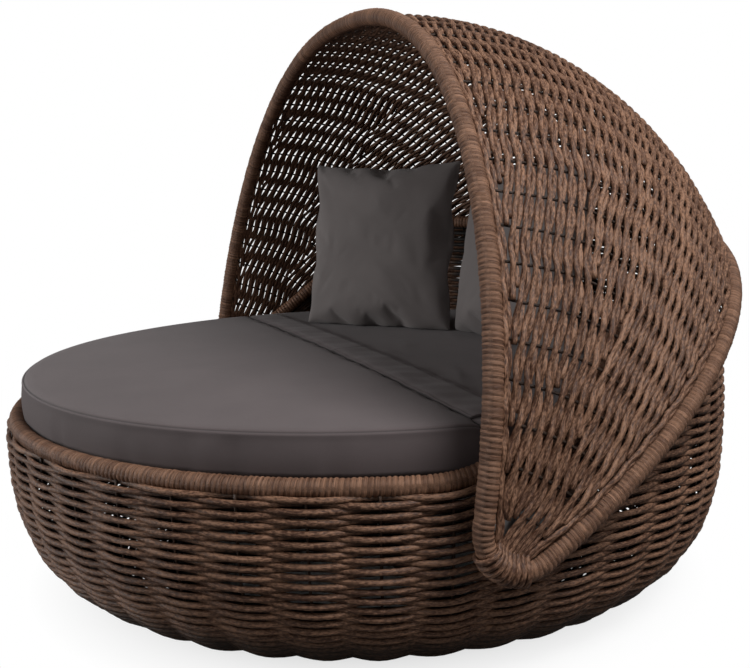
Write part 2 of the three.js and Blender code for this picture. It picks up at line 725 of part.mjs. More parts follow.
// Square pillow with a full middle, waisted sides and pointed corners, standing on its lower edge
function pillowGeometry() {
  const points = [];
  const faces = [];
  const half = pillowSize / 2;
  const cell = (side, i, j) => side * (pillowCells + 1) ** 2 + i * (pillowCells + 1) + j;
  for (const side of [1, -1]) {
    for (let i = 0; i <= pillowCells; i += 1) {
      for (let j = 0; j <= pillowCells; j += 1) {
        const u = Math.sin((2 * i / pillowCells - 1) * Math.PI / 2);
        const v = Math.sin((2 * j / pillowCells - 1) * Math.PI / 2);
        const full = Math.max((1 - u ** 2) * (1 - v ** 2), 0) ** pillowFullPower;
        const endWaist = v > 0 ? pillowWaist : pillowFootWaist;
        points.push(new THREE.Vector3(
          u * (half - pillowWaist * (1 - v ** 2)),
          side * full * pillowThickness / 2,
          half + v * (half - endWaist * (1 - u ** 2)),
        ));
      }
    }
  }
  for (let i = 0; i < pillowCells; i += 1) {
    for (let j = 0; j < pillowCells; j += 1) {
      const [a, b, c, d] = [cell(0, i, j), cell(0, i + 1, j), cell(0, i + 1, j + 1), cell(0, i, j + 1)];
      const [e, f, g, h] = [cell(1, i, j), cell(1, i + 1, j), cell(1, i + 1, j + 1), cell(1, i, j + 1)];
      faces.push([a, c, b], [a, d, c], [e, f, g], [e, g, h]);
    }
  }
  return fromFaces(points, facingOut(points, faces));
}

// Leaned pillow let down onto the crowned mattress
function addPillow(name, seat) {
  const geometry = pillowGeometry();
  geometry.rotateX(-seat.lean);
  geometry.rotateZ(seat.turn);
  const place = [seat.acrossShare * bowlRadius, seat.backShare * bowlRadius, 0];
  const leaned = toSolid(geometry).translate(place);
  const lift = mattressTopHeight + mattressCrown + fitGap - leaned.boundingBox().min[2];
  const raised = leaned.translate([0, 0, lift]);
  const drop = raised.minGap(mattressPad(), mattressCrown + 2 * fitGap) - fitGap;
  addPiece(name, toGeometry(raised.translate([0, 0, -drop])), pillowFabric);
}

const wovenWall = bowlWall();
addPiece('bowl_weave', toGeometry(wovenWall), wicker);
addBowlRim();
addBottomFrame();
addGlides();
addRibs();
addPivotPosts();
addDeck();
addCanopyWeave();
addCanopyRim();
addPivots();
addRests(wovenWall);
addMattress();
addPillow('pillow_left', leftPillow);
addPillow('pillow_right', rightPillow);

export default group;
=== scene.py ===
import math

import bmesh
import bpy
import numpy as np
from mathutils import Matrix, Vector


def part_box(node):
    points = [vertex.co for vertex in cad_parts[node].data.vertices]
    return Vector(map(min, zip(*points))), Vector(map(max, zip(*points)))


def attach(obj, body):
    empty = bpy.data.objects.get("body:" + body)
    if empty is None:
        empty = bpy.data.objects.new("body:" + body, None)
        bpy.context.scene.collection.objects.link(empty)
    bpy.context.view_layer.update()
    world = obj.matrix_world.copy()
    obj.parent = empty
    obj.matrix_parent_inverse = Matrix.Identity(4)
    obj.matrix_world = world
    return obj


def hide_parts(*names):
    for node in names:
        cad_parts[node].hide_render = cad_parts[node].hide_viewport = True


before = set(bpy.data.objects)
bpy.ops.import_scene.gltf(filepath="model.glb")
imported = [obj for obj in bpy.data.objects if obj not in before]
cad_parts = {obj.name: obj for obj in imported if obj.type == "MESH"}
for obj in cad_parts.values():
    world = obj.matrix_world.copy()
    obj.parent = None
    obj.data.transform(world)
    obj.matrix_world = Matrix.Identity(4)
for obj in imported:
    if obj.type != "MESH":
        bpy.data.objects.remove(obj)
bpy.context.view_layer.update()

bl_info = {
    "name": "Outdoor daybed with canopy",
    "version": (1, 0, 0),
    "blender": (4, 5, 0),
    "location": "3D View > Sidebar > Daybed",
    "description": "Weaves, upholsters and lights a round outdoor daybed around its packed frame",
    "category": "Object",
}

# Bowl wall, in metres, as in the part's source
BOWL_RADIUS = 0.810
BOWL_FOOT_RADIUS = 0.480
FLOOR_CLEARANCE = 0.012
SEAT_RIM_HEIGHT = 0.394
WALL_HEIGHT_POWER = 3.12
WALL_RADIUS_POWER = 2.83
RIM_TUBE_RADIUS = 0.018
BACK_RISE = 0.360
BACK_BEND_RADIUS = 1.080
BACK_START = math.radians(-14)
BACK_END = math.radians(36)
WALL_MIDDLE = 0.004

# Canopy surface, as in the part's source
PIVOT_FORWARD = 0.075
PIVOT_HEIGHT = 0.340
TIP_RADIUS = 0.075
CANOPY_HALF_WIDTH = 0.878
CANOPY_BACK_INSET = 0.036
FRONT_ANGLE = math.radians(82)
REAR_ANGLE = math.radians(31.5)
FRONT_REACH = 0.897
MIDDLE_REACH = 0.944
FRONT_ROUND_POWER = 2.3
REAR_ROUND_POWER = 2.2
REAR_BASE_Y = -PIVOT_FORWARD + TIP_RADIUS * math.sin(REAR_ANGLE)
REAR_REACH = (BOWL_RADIUS - CANOPY_BACK_INSET - REAR_BASE_Y) / math.cos(REAR_ANGLE)
WEAVE_EDGE = 0.0555

# Mattress and pillows, as in the part's source
MATTRESS_RADIUS = 0.763
MATTRESS_TOP = 0.483
MATTRESS_BOTTOM = 0.374
MATTRESS_FOOT_RADIUS = 0.756
MATTRESS_SHELF = 0.404
MATTRESS_CROWN = 0.010
MATTRESS_EDGE = 0.009
SEAM_Y = -0.087
CROSS_SEAM_X = 0.018
SEAM_FALL = 0.009
PAD_FORWARD = 0.013
FRONT_STRETCH = 1 + PAD_FORWARD / MATTRESS_RADIUS
PAD_UPPER_PART = 0.42
PAD_WRINKLES = 12
SIDE_FOLDS = 26
PILLOW_SIZE = 0.450
PILLOW_THICKNESS = 0.140
PILLOW_FLAT_SIZE = 0.485
PILLOW_FLAT_THICKNESS = 0.06
PILLOWS = {
    "left": {"x": -0.293, "y": 0.152, "turn": 38.0, "lean": 9.0, "seed": 3},
    "right": {"x": 0.095, "y": 0.335, "turn": 8.0, "lean": 11.0, "seed": 8},
}


def smooth_step(value):
    share = np.clip(value, 0.0, 1.0)
    return share * share * (3 - 2 * share)


def unit(vectors):
    return vectors / np.maximum(np.linalg.norm(vectors, axis=-1, keepdims=True), 1e-12)


def run_along(points):
    """Distance along a line of points from its first."""
    return np.concatenate([[0], np.cumsum(np.linalg.norm(np.diff(points, axis=0), axis=1))])


# Settings that a user would change


def length_setting(label, text, size, low=0.0, high=1.0):
    return bpy.props.FloatProperty(
        name=label, description=text, default=size, min=low, max=high, unit="LENGTH"
    )


def colour_setting(label, text, colour):
    return bpy.props.FloatVectorProperty(
        name=label, description=text, default=colour, size=3, min=0.0, max=1.0, subtype="COLOR"
    )


def power_setting(label, text, power):
    return bpy.props.FloatProperty(
        name=label, description=text, default=power, min=0.0, unit="POWER"
    )


class DaybedWicker(bpy.types.PropertyGroup):
    strand_radius: length_setting("Strand radius", "Radius of a bowl strand", 0.0059, 0.001, 0.02)
    canopy_radius: length_setting(
        "Canopy strand radius", "Radius of a canopy strand", 0.0054, 0.001, 0.02
    )
    bowl_pitch: length_setting(
        "Bowl row pitch", "Distance between rows of the bowl", 0.0095, 0.004, 0.04
    )
    bowl_swing: length_setting(
        "Bowl swing", "How far a bowl strand stands in or out", 0.0072, 0.0, 0.02
    )
    bowl_stakes: bpy.props.IntProperty(
        name="Bowl stakes", description="Upright stakes round the bowl", default=42, min=8, max=90
    )
    canopy_pairs: bpy.props.IntProperty(
        name="Canopy pairs", description="Pairs of strands over the crown", default=45, min=4, max=80
    )
    stake_spacing: length_setting(
        "Stake spacing", "Distance between canopy stakes", 0.068, 0.01, 0.2
    )
    stake_radius: length_setting("Stake radius", "Radius of a stake", 0.0026, 0.0005, 0.01)
    canopy_swing: length_setting(
        "Canopy swing", "How far a canopy strand stands in or out", 0.0055, 0.0, 0.02
    )
    wrap_pitch: length_setting(
        "Bowl rim turns", "Distance between turns round the bowl's rim", 0.0096, 0.004, 0.04
    )
    canopy_wrap_pitch: length_setting(
        "Canopy rim turns", "Distance between turns round the canopy's rim", 0.0090, 0.004, 0.04
    )
    dark: colour_setting("Dark brown", "Darkest strands", (0.060, 0.022, 0.010))
    light: colour_setting("Light brown", "Lightest strands", (0.292, 0.155, 0.093))


class DaybedFabric(bpy.types.PropertyGroup):
    seat_colour: colour_setting("Seat colour", "Mattress cover", (0.106, 0.085, 0.086))
    pillow_colour: colour_setting("Pillow colour", "Pillow covers", (0.168, 0.149, 0.145))
    seam_depth: length_setting("Seam depth", "How deep a seam is drawn in", 0.005, 0.0, 0.02)


class DaybedStudio(bpy.types.PropertyGroup):
    key_power: power_setting("Key power", "Power of the soft light high on the right", 102.0)
    fill_power: power_setting("Fill power", "Power of the soft light in front", 66.0)
    floor_colour: colour_setting("Floor colour", "Studio floor", (0.9, 0.9, 0.9))


def wicker():
    return bpy.context.scene.daybed_wicker


# Shapes that follow the part's source


def wall_point(share):
    """Radius and height of the bowl's wall: 0 at the foot, 1 at the seat rim, more up the back."""
    share = np.asarray(share, float)
    rise = np.maximum(share - 1, 0) * BACK_RISE
    turn = np.clip(share, 0, 1) * math.pi / 2
    swell = np.sin(turn) ** (2 / WALL_RADIUS_POWER)
    radius = BOWL_FOOT_RADIUS + (BOWL_RADIUS - BOWL_FOOT_RADIUS) * swell
    climb = 1 - np.maximum(np.cos(turn), 0) ** (2 / WALL_HEIGHT_POWER)
    height = FLOOR_CLEARANCE + (SEAT_RIM_HEIGHT - FLOOR_CLEARANCE) * climb
    return radius - rise**2 / (2 * BACK_BEND_RADIUS), height + rise


def wall_table():
    """Arc length, radius, height and outward direction down the bowl's wall, evenly spaced."""
    shares = np.concatenate([np.linspace(0, 1, 1600) ** 1.3, np.linspace(1, 2, 600)[1:]])
    radius, height = wall_point(shares)
    length = run_along(np.stack([radius, height], 1))
    even = np.linspace(0, length[-1], 1800)
    radius, height = np.interp(even, length, radius), np.interp(even, length, height)
    slope_r, slope_z = np.gradient(radius, even), np.gradient(height, even)
    size = np.hypot(slope_r, slope_z)
    outward = {"out_r": slope_z / size, "out_z": -slope_r / size}
    return {"length": even, "r": radius, "z": height, **outward}


WALL = wall_table()


def on_wall(length, *keys):
    """Columns of the wall's table at arc lengths up it."""
    return [np.interp(length, WALL["length"], WALL[key]) for key in keys]


def wall_path(angle, length, out):
    """Line round or up the wall's middle, moved outwards."""
    r, z, out_r, out_z = on_wall(length, "r", "z", "out_r", "out_z")
    reach = out - WALL_MIDDLE
    r, z = r + out_r * reach, z + out_z * reach
    return np.stack([r * np.cos(angle), r * np.sin(angle), z], 1)


def rim_height(angle):
    folded = np.arcsin(np.sin(angle))
    share = np.clip((folded - BACK_START) / (BACK_END - BACK_START), 0, 1)
    return SEAT_RIM_HEIGHT + BACK_RISE * (1 - np.cos(math.pi * share)) / 2


def canopy_point(across, along, edge):
    """Point of the canopy's surface: across 0 front to 1 rear, along -1 left tip to 1 right tip."""
    across, along = np.broadcast_arrays(np.asarray(across, float), np.asarray(along, float))
    lean = FRONT_ANGLE + (REAR_ANGLE - FRONT_ANGLE) * across
    reach = (
        FRONT_REACH * (1 - across) * (1 - 2 * across)
        + REAR_REACH * across * (2 * across - 1)
        + 4 * MIDDLE_REACH * across * (1 - across)
    )
    offset = edge * (1 - 2 * across)
    overrun = np.sqrt(np.maximum(edge**2 - offset**2, 0))
    climb = (reach + overrun) * (1 - along**2) - overrun
    share = np.minimum(np.maximum(climb, 0) / reach, 1)
    power = FRONT_ROUND_POWER + (REAR_ROUND_POWER - FRONT_ROUND_POWER) * across
    half_width = CANOPY_HALF_WIDTH * (1 - share**2) ** (1 / power)
    return np.stack(
        [
            np.sign(along) * half_width,
            -PIVOT_FORWARD - offset * np.sin(lean) + climb * np.cos(lean),
            PIVOT_HEIGHT + offset * np.cos(lean) + climb * np.sin(lean),
        ],
        axis=-1,
    )


# Mesh making


def add_piece(name, points, faces, material, values=None):
    """New mesh object with smooth faces and its point values."""
    mesh = bpy.data.meshes.new(name)
    mesh.from_pydata(points, [], faces)
    mesh.polygons.foreach_set("use_smooth", np.ones(len(mesh.polygons), bool))
    for key, numbers in (values or {}).items():
        numbers = np.asarray(numbers, np.float32)
        vector = numbers.ndim == 2
        attribute = mesh.attributes.new(key, "FLOAT_VECTOR" if vector else "FLOAT", "POINT")
        attribute.data.foreach_set("vector" if vector else "value", numbers.ravel())
    mesh.materials.append(material)
    mesh.update()
    return add_object(name, mesh)


def add_object(name, data):
    made = bpy.data.objects.new(name, data)
    bpy.context.scene.collection.objects.link(made)
    return made


def join_points(piece):
    """Joins points of a piece that lie on one another."""
    made = bmesh.new()
    made.from_mesh(piece.data)
    bmesh.ops.remove_doubles(made, verts=made.verts[:], dist=1e-5)
    made.to_mesh(piece.data)
    made.free()


class Strands:
    """Many round strands gathered into one mesh, with the values that colour them.

    Grain is a place along and round the strand, tone is one number for each strand,
    and lift says how far out a point lies in the weave, less on the strand's inner side;
    lift sets the painted shade of deep parts.
    """

    sides = 6
    grain_shift = 37.0
    grain_width = 0.005
    # Lift taken off each strand's inner side, which gives that side painted shade.
    outer_lift = 0.35

    def __init__(self):
        self.points, self.faces, self.grain, self.tone, self.lift = [], [], [], [], []
        self.count = 0

    def add(self, path, outward, radius, tone, lift, closed=False):
        """Adds one strand along a path of points, with an outward direction at each."""
        rings, sides = len(path), self.sides
        if closed:
            tangent = unit(np.roll(path, -1, 0) - np.roll(path, 1, 0))
        else:
            tangent = unit(np.gradient(path, axis=0))
        turn = (np.arange(sides) + 0.5) / sides * 2 * math.pi
        radius = np.broadcast_to(np.asarray(radius, float), (rings,))
        rim = circles(tangent, outward, turn)
        self.points.append((path[:, None] + rim * radius[:, None, None]).reshape(-1, 3))
        self.faces.append(tube_faces(rings, sides, closed) + self.count)
        if not closed:
            last = (rings - 1) * sides
            for j in range(1, sides - 2, 2):
                caps = [[0, j + 2, j + 1, j], [last, last + j, last + j + 1, last + j + 2]]
                self.faces.append(np.array(caps) + self.count)
        grain = np.zeros((rings, sides, 3))
        grain[:, :, 0] = run_along(path)[:, None] + tone * self.grain_shift
        grain[:, :, 1] = np.cos(turn)[None, :] * self.grain_width
        grain[:, :, 2] = np.sin(turn)[None, :] * self.grain_width
        self.grain.append(grain.reshape(-1, 3))
        self.tone.append(np.full(rings * sides, tone))
        self.lift.append((lift[:, None] + np.cos(turn)[None, :] * self.outer_lift).ravel())
        self.count += rings * sides

    def build(self, name, material):
        points, faces = np.concatenate(self.points), np.concatenate(self.faces)
        values = {key: np.concatenate(getattr(self, key)) for key in ("grain", "tone", "lift")}
        return add_piece(name, points, faces, material, values)


def circles(tangent, outward, turn):
    """Unit directions round each point of a line, turned from the outward one."""
    outward = unit(outward - tangent * (outward * tangent).sum(1, keepdims=True))
    side = np.cross(tangent, outward)
    return np.cos(turn)[None, :, None] * outward[:, None] + np.sin(turn)[None, :, None] * side[:, None]


def tube_faces(rings, sides, closed):
    ring, k = np.arange(rings if closed else rings - 1)[:, None], np.arange(sides)[None, :]
    following, beside = (ring + 1) % rings * sides, (k + 1) % sides
    corners = [ring * sides + k, ring * sides + beside, following + beside, following + k]
    return np.stack(corners, -1).reshape(-1, 4)


def even_loop(points, step):
    """The same closed line with points an even distance apart, in a whole number of steps."""
    line = np.concatenate([points, points[:1]])
    length = run_along(line)
    marks = np.linspace(0, length[-1], int(round(length[-1] / step)) + 1)[:-1]
    return np.stack([np.interp(marks, length, line[:, i]) for i in range(3)], 1)


# Materials


class Nodes:
    """A material's node tree, wired in short calls."""

    def __init__(self, name):
        self.material = bpy.data.materials.new(name)
        self.material.use_nodes = True
        self.tree = self.material.node_tree
        self.shader = self.tree.nodes["Principled BSDF"]

    def add(self, kind, settings=None, **inputs):
        node = self.tree.nodes.new(kind)
        for key, value in (settings or {}).items():
            setattr(node, key, value)
        for key, value in inputs.items():
            numbered = key[0] == "i" and key[1:].isdigit()
            self.put(node.inputs[int(key[1:]) if numbered else key], value)
        return node

    def put(self, socket, value):
        if isinstance(value, bpy.types.NodeSocket):
            self.tree.links.new(value, socket)
        elif isinstance(value, bpy.types.Node):
            self.tree.links.new(value.outputs[0], socket)
        else:
            socket.default_value = value

    def math(self, operation, first, second=0.0, third=0.0):
        node = self.add("ShaderNodeMath", {"operation": operation}, i0=first, i1=second, i2=third)
        return node.outputs[0]

    def noise(self, vector, scale, detail=2.0, roughness=0.5):
        node = self.add("ShaderNodeTexNoise", {"noise_dimensions": "3D"}, Scale=scale, Detail=detail)
        node.inputs["Roughness"].default_value = roughness
        self.put(node.inputs["Vector"], vector)
        return node.outputs["Fac"]

    def ramp(self, value, stops):
        node = self.add("ShaderNodeValToRGB", None, Fac=value)
        while len(node.color_ramp.elements) < len(stops):
            node.color_ramp.elements.new(0.5)
        for element, (place, colour) in zip(node.color_ramp.elements, stops):
            element.position = place
            element.color = (*colour, 1.0)
        return node.outputs["Color"]

    def mix(self, share, first, second, blend="MIX"):
        node = self.add("ShaderNodeMix", {"data_type": "RGBA", "blend_type": blend})
        for place, value in ((0, share), (6, first), (7, second)):
            self.put(node.inputs[place], (*value, 1.0) if isinstance(value, tuple) else value)
        return node.outputs[2]

    def shaded(self, colour, shade):
        """The colour multiplied by a shade."""
        grey = self.add("ShaderNodeCombineColor", None, i0=shade, i1=shade, i2=shade)
        return self.mix(1.0, colour, grey, "MULTIPLY")

    def map_range(self, value, low, high, to_low, to_high):
        node = self.add("ShaderNodeMapRange")
        for socket, number in zip(node.inputs, (value, low, high, to_low, to_high)):
            self.put(socket, number)
        return node.outputs[0]

    def stretch(self, vector, scale):
        node = self.add("ShaderNodeMapping", None, Vector=vector)
        node.inputs["Scale"].default_value = scale
        return node.outputs[0]

    def attribute(self, name, output="Fac"):
        return self.add("ShaderNodeAttribute", {"attribute_name": name}).outputs[output]

    def object_place(self):
        return self.add("ShaderNodeTexCoord").outputs["Object"]

    def split_place(self):
        return self.add("ShaderNodeSeparateXYZ", None, Vector=self.object_place()).outputs

    def bump(self, height, strength, distance):
        node = self.add("ShaderNodeBump", None, Height=height, Strength=strength, Distance=distance)
        return node.outputs[0]

    def finish(self, colour, roughness, normal=None):
        self.put(self.shader.inputs["Base Color"], colour)
        self.put(self.shader.inputs["Roughness"], roughness)
        if normal is not None:
            self.put(self.shader.inputs["Normal"], normal)
        return self.material


def scaled(colour, by):
    return tuple(min(channel * by, 1.0) for channel in colour)


def wicker_material(name, depth, brightness, deep=(-1.2, 0.0), foot=None):
    """Round synthetic wicker: tone by strand, streaks, specks and ridges.

    It carries painted shade: it is darkened to depth where a strand lies deep, between
    the two lifts of deep, and darkened towards the floor between the two heights of foot,
    a painted contact shadow.
    """
    dark, light = wicker().dark, wicker().light
    made = Nodes(name)
    grain = made.attribute("grain", "Vector")
    streaks = made.noise(made.stretch(grain, (70.0, 900.0, 900.0)), 1.0, 3.0, 0.6)
    patches = made.noise(made.stretch(grain, (22.0, 60.0, 60.0)), 1.0, 2.0)
    specks = made.noise(made.stretch(grain, (140.0, 400.0, 400.0)), 1.0, 2.0, 0.65)
    mixed = made.math("MULTIPLY", made.attribute("tone"), 0.12)
    for part, share in ((patches, 0.25), (streaks, 0.45), (specks, 0.9)):
        mixed = made.math("ADD", mixed, made.math("MULTIPLY", part, share))
    mixed = made.map_range(mixed, 0.73, 0.99, 0.0, 1.0)
    middle = tuple((a + b) / 2 * 0.92 for a, b in zip(dark, light))
    colours = [scaled(c, brightness) for c in (dark, middle, light)]
    colour = made.ramp(mixed, [(0.0, colours[0]), (0.5, colours[1]), (1.0, colours[2])])
    # Painted shade: parts lying deep in the weave, and the inner sides of strands, are darkened.
    shade = made.map_range(made.attribute("lift"), deep[0], deep[1], depth, 1.0)
    if foot:
        # Painted contact shadow: darker towards the floor, a quarter as bright below foot's first
        # height.
        painted_foot_shade = made.map_range(made.split_place()[2], *foot, 0.25, 1.0)
        shade = made.math("MULTIPLY", shade, painted_foot_shade)
    roughness = made.map_range(specks, 0.3, 0.7, 0.44, 0.66)
    normal = made.bump(made.math("ADD", streaks, specks), 0.8, 0.0014)
    made.shader.inputs["Specular IOR Level"].default_value = 0.4
    return made.finish(made.shaded(colour, shade), roughness, normal)


def fabric_material(name, colour, thread):
    """Woven outdoor cloth: a fine square weave, soft sheen, slight mottling, and painted shade and
    highlight along seams.
    """
    made = Nodes(name)
    place = made.object_place()
    turns = 2 * math.pi / thread
    waves = [made.math("SINE", made.math("MULTIPLY", axis, turns)) for axis in made.split_place()]
    upright = made.math("MULTIPLY", waves[2], 0.8)
    weave = made.math("ADD", made.math("MULTIPLY", waves[0], waves[1]), upright)
    mottle = made.noise(place, 9.0, 3.0, 0.55)
    fine = made.noise(place, 650.0, 2.0, 0.6)
    shade = made.math("ADD", made.math("MULTIPLY", mottle, 0.55), made.math("MULTIPLY", fine, 0.45))
    cloth = made.ramp(shade, [(0.3, scaled(colour, 0.9)), (0.7, scaled(colour, 1.1))])
    # Painted shade along drawn-in seams, and painted highlight where the seam value is negative.
    seam_shade_and_highlight = made.math("MULTIPLY_ADD", made.attribute("seam"), -0.7, 1.0)
    cloth = made.shaded(cloth, seam_shade_and_highlight)
    height = made.math("ADD", made.math("MULTIPLY", weave, 0.25), fine)
    normal = made.bump(height, 0.22, 0.0006)
    made.shader.inputs["Sheen Weight"].default_value = 0.12
    made.shader.inputs["Sheen Roughness"].default_value = 0.5
    made.shader.inputs["Specular IOR Level"].default_value = 0.3
    return made.finish(cloth, made.map_range(fine, 0.3, 0.7, 0.80, 0.92), normal)


def metal_material(name, colour, metallic, roughness, grain=160.0):
    """Painted or plated metal with faint orange peel, smudges and rubbed patches."""
    made = Nodes(name)
    place = made.object_place()
    peel = made.noise(place, grain, 2.0)
    wear = made.noise(place, 14.0, 4.0, 0.6)
    shade = made.ramp(wear, [(0.35, scaled(colour, 0.8)), (0.62, colour), (0.75, scaled(colour, 1.35))])
    made.shader.inputs["Metallic"].default_value = metallic
    polish = made.map_range(wear, 0.3, 0.7, roughness - 0.1, roughness + 0.12)
    return made.finish(shade, polish, made.bump(peel, 0.15, 0.0005))


def moulded_material(name, colour, roughness, grain=420.0):
    """Moulded nylon or rubber with a fine texture and scuffs."""
    made = Nodes(name)
    place = made.object_place()
    pits = made.noise(place, grain, 2.0, 0.7)
    scuffs = made.noise(place, 30.0, 3.0, 0.7)
    shade = made.ramp(scuffs, [(0.4, colour), (0.72, scaled(colour, 1.9))])
    polish = made.map_range(scuffs, 0.3, 0.7, roughness - 0.08, roughness + 0.1)
    return made.finish(shade, polish, made.bump(pits, 0.2, 0.0004))


# Weaving

# Stakes take the painted shade of deep parts, as though lying in the shadowed gaps of the weave.
STAKE_LIFT = -0.6


def growing_places(births, stations, ramp):
    """Weight of each strand at each station: 0 before its birth, 1 once it has its full place."""
    return smooth_step((stations[None, :] - births[:, None]) / ramp)


def stacked(weights):
    """Share of the whole stack at which each strand's middle lies."""
    return (np.cumsum(weights, 0) - weights / 2) / weights.sum(0)


class DAYBED_OT_bowl_weave(bpy.types.Operator):
    """Weave the bowl's rows round its upright stakes, with extra rows up the raised back"""

    bl_idname = "daybed.bowl_weave"
    bl_label = "Weave the bowl"

    top_band = 6
    lower_rows = 34
    samples = 7
    stake_phase = math.radians(-2.7)
    stake_foot = 0.004
    stake_points = 60
    birth_ramp = 0.10
    under_rim = 0.010
    birth_depth = 0.008

    def wall_length(self, angle):
        """Arc length up the wall at which the rows end under the rim."""
        return np.interp(rim_height(angle), WALL["z"], WALL["length"]) - self.under_rim

    def rows(self):
        """Yields each row's angles, arc lengths, closedness and growth."""
        pitch = wicker().bowl_pitch
        folded = np.linspace(-math.pi / 2, math.pi / 2, 721)
        length = self.wall_length(folded)
        base = int(round(length[0] / pitch))
        pitch = length[0] / base
        extra = int((length[-1] / pitch - base) // 2)
        wanted = base + 2 * np.arange(extra) + 1
        births = np.interp(wanted * pitch, length, folded)
        per_turn = wicker().bowl_stakes * self.samples
        angle = np.arange(per_turn) / per_turn * 2 * math.pi - math.pi / 2
        fold = np.arcsin(np.sin(angle))
        lower, upper = np.ones((base - self.top_band, per_turn)), np.ones((self.top_band, per_turn))
        born = np.repeat(growing_places(births, fold, self.birth_ramp), 2, axis=0)
        weights = np.concatenate([lower, born, upper])
        height = stacked(weights) * self.wall_length(angle)
        for row, grown in enumerate(weights > 0):
            keep = np.flatnonzero(grown)
            yield row, angle[keep], height[row, keep], bool(grown.all()), weights[row, keep]

    def execute(self, context):
        settings = wicker()
        if settings.bowl_stakes % 2:
            raise ValueError("the bowl needs an even number of stakes")
        rng = np.random.default_rng(11)
        # Painted shade: deep parts darkened to 0.05, and a painted contact shadow darkening the bowl
        # below 0.122 m, to a quarter at 0.080 m.
        material = wicker_material("wicker_bowl", 0.05, 0.97, (-1.0, 0.1), (0.080, 0.122))
        lower, upper = Strands(), Strands()
        for row, angle, length, closed, growth in self.rows():
            phase = rng.uniform(0, 2 * math.pi, 4)
            wobble = 0.0005 * np.sin(5 * angle + phase[0]) + 0.0004 * np.sin(13 * angle + phase[1])
            wave = np.cos(settings.bowl_stakes / 2 * (angle - self.stake_phase) + math.pi * row)
            swing = settings.bowl_swing * (1 + 0.12 * np.sin(7 * angle + phase[2]))
            out = wave * swing - self.birth_depth * (1 - growth)
            path = wall_path(angle, length + wobble, out)
            out_r, out_z = on_wall(length, "out_r", "out_z")
            outward = np.stack([out_r * np.cos(angle), out_r * np.sin(angle), out_z], 1)
            radius = settings.strand_radius * (1 + 0.04 * np.sin(11 * angle + phase[3]))
            target = lower if row < self.lower_rows else upper
            target.add(path, outward, radius, rng.uniform(), wave, closed)
        for name, strands in (("bowl_rows_lower", lower), ("bowl_rows_upper", upper)):
            piece = strands.build(name, material)
            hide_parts("bowl_weave")
            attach(piece, "base")
        self.add_stakes(settings, rng)
        return {"FINISHED"}

    def add_stakes(self, settings, rng):
        stakes = Strands()
        for k in range(settings.bowl_stakes):
            angle = self.stake_phase + k / settings.bowl_stakes * 2 * math.pi
            length = np.linspace(self.stake_foot, float(self.wall_length(angle)), self.stake_points)
            path = wall_path(angle, length, 0.0)
            outward = np.tile([[math.cos(angle), math.sin(angle), 0.0]], (len(path), 1))
            lift = np.full(len(path), STAKE_LIFT)
            stakes.add(path, outward, settings.stake_radius, rng.uniform(), lift)
        # Painted shade: bowl stakes darkened to 0.4, and to 0.1 where deep, for the shadowed gaps they
        # show through.
        piece = stakes.build("bowl_stakes", wicker_material("wicker_stake", 0.1, 0.4))
        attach(piece, "base")


class CanopySide:
    """Table of points over one half of the canopy, even along it and across it, from tip to crown."""

    columns = 121

    def __init__(self, sign, samples_per_stake):
        self.sign = sign
        fine = np.linspace(1, 0, 1500)
        middle = canopy_point(0.5, fine * sign, WEAVE_EDGE)
        middle[-1, 0] = 0
        length = run_along(middle)
        self.total = length[-1]
        self.stakes = int(round(self.total / wicker().stake_spacing))
        step = self.total / self.stakes / samples_per_stake
        self.stations = np.arange(self.stakes * samples_per_stake + 1) * step
        along = np.interp(self.stations, length, fine) * sign
        across = (1 - np.cos(np.linspace(0, math.pi, 181))) / 2
        grid = canopy_point(across[None, :], along[:, None], WEAVE_EDGE)
        grid[-1, :, 0] = 0
        self.width = np.array([run_along(row)[-1] for row in grid])
        shares = np.linspace(0, 1, self.columns)
        self.points = np.zeros((len(grid), self.columns, 3))
        for i, row in enumerate(grid):
            run = run_along(row)
            for axis in range(3):
                self.points[i, :, axis] = np.interp(shares * run[-1], run, row[:, axis])
        along_way, across_way = np.gradient(self.points, axis=(0, 1))
        self.outward = unit(np.cross(across_way, along_way)) * sign
        self.outward[:2] = self.outward[2]

    def at(self, rows, shares, table):
        """Values of a table at rows of it and shares across it."""
        place = np.clip(shares, 0, 1) * (self.columns - 1)
        low = np.minimum(place.astype(int), self.columns - 2)
        part = (place - low)[:, None]
        return table[rows, low] * (1 - part) + table[rows, low + 1] * part


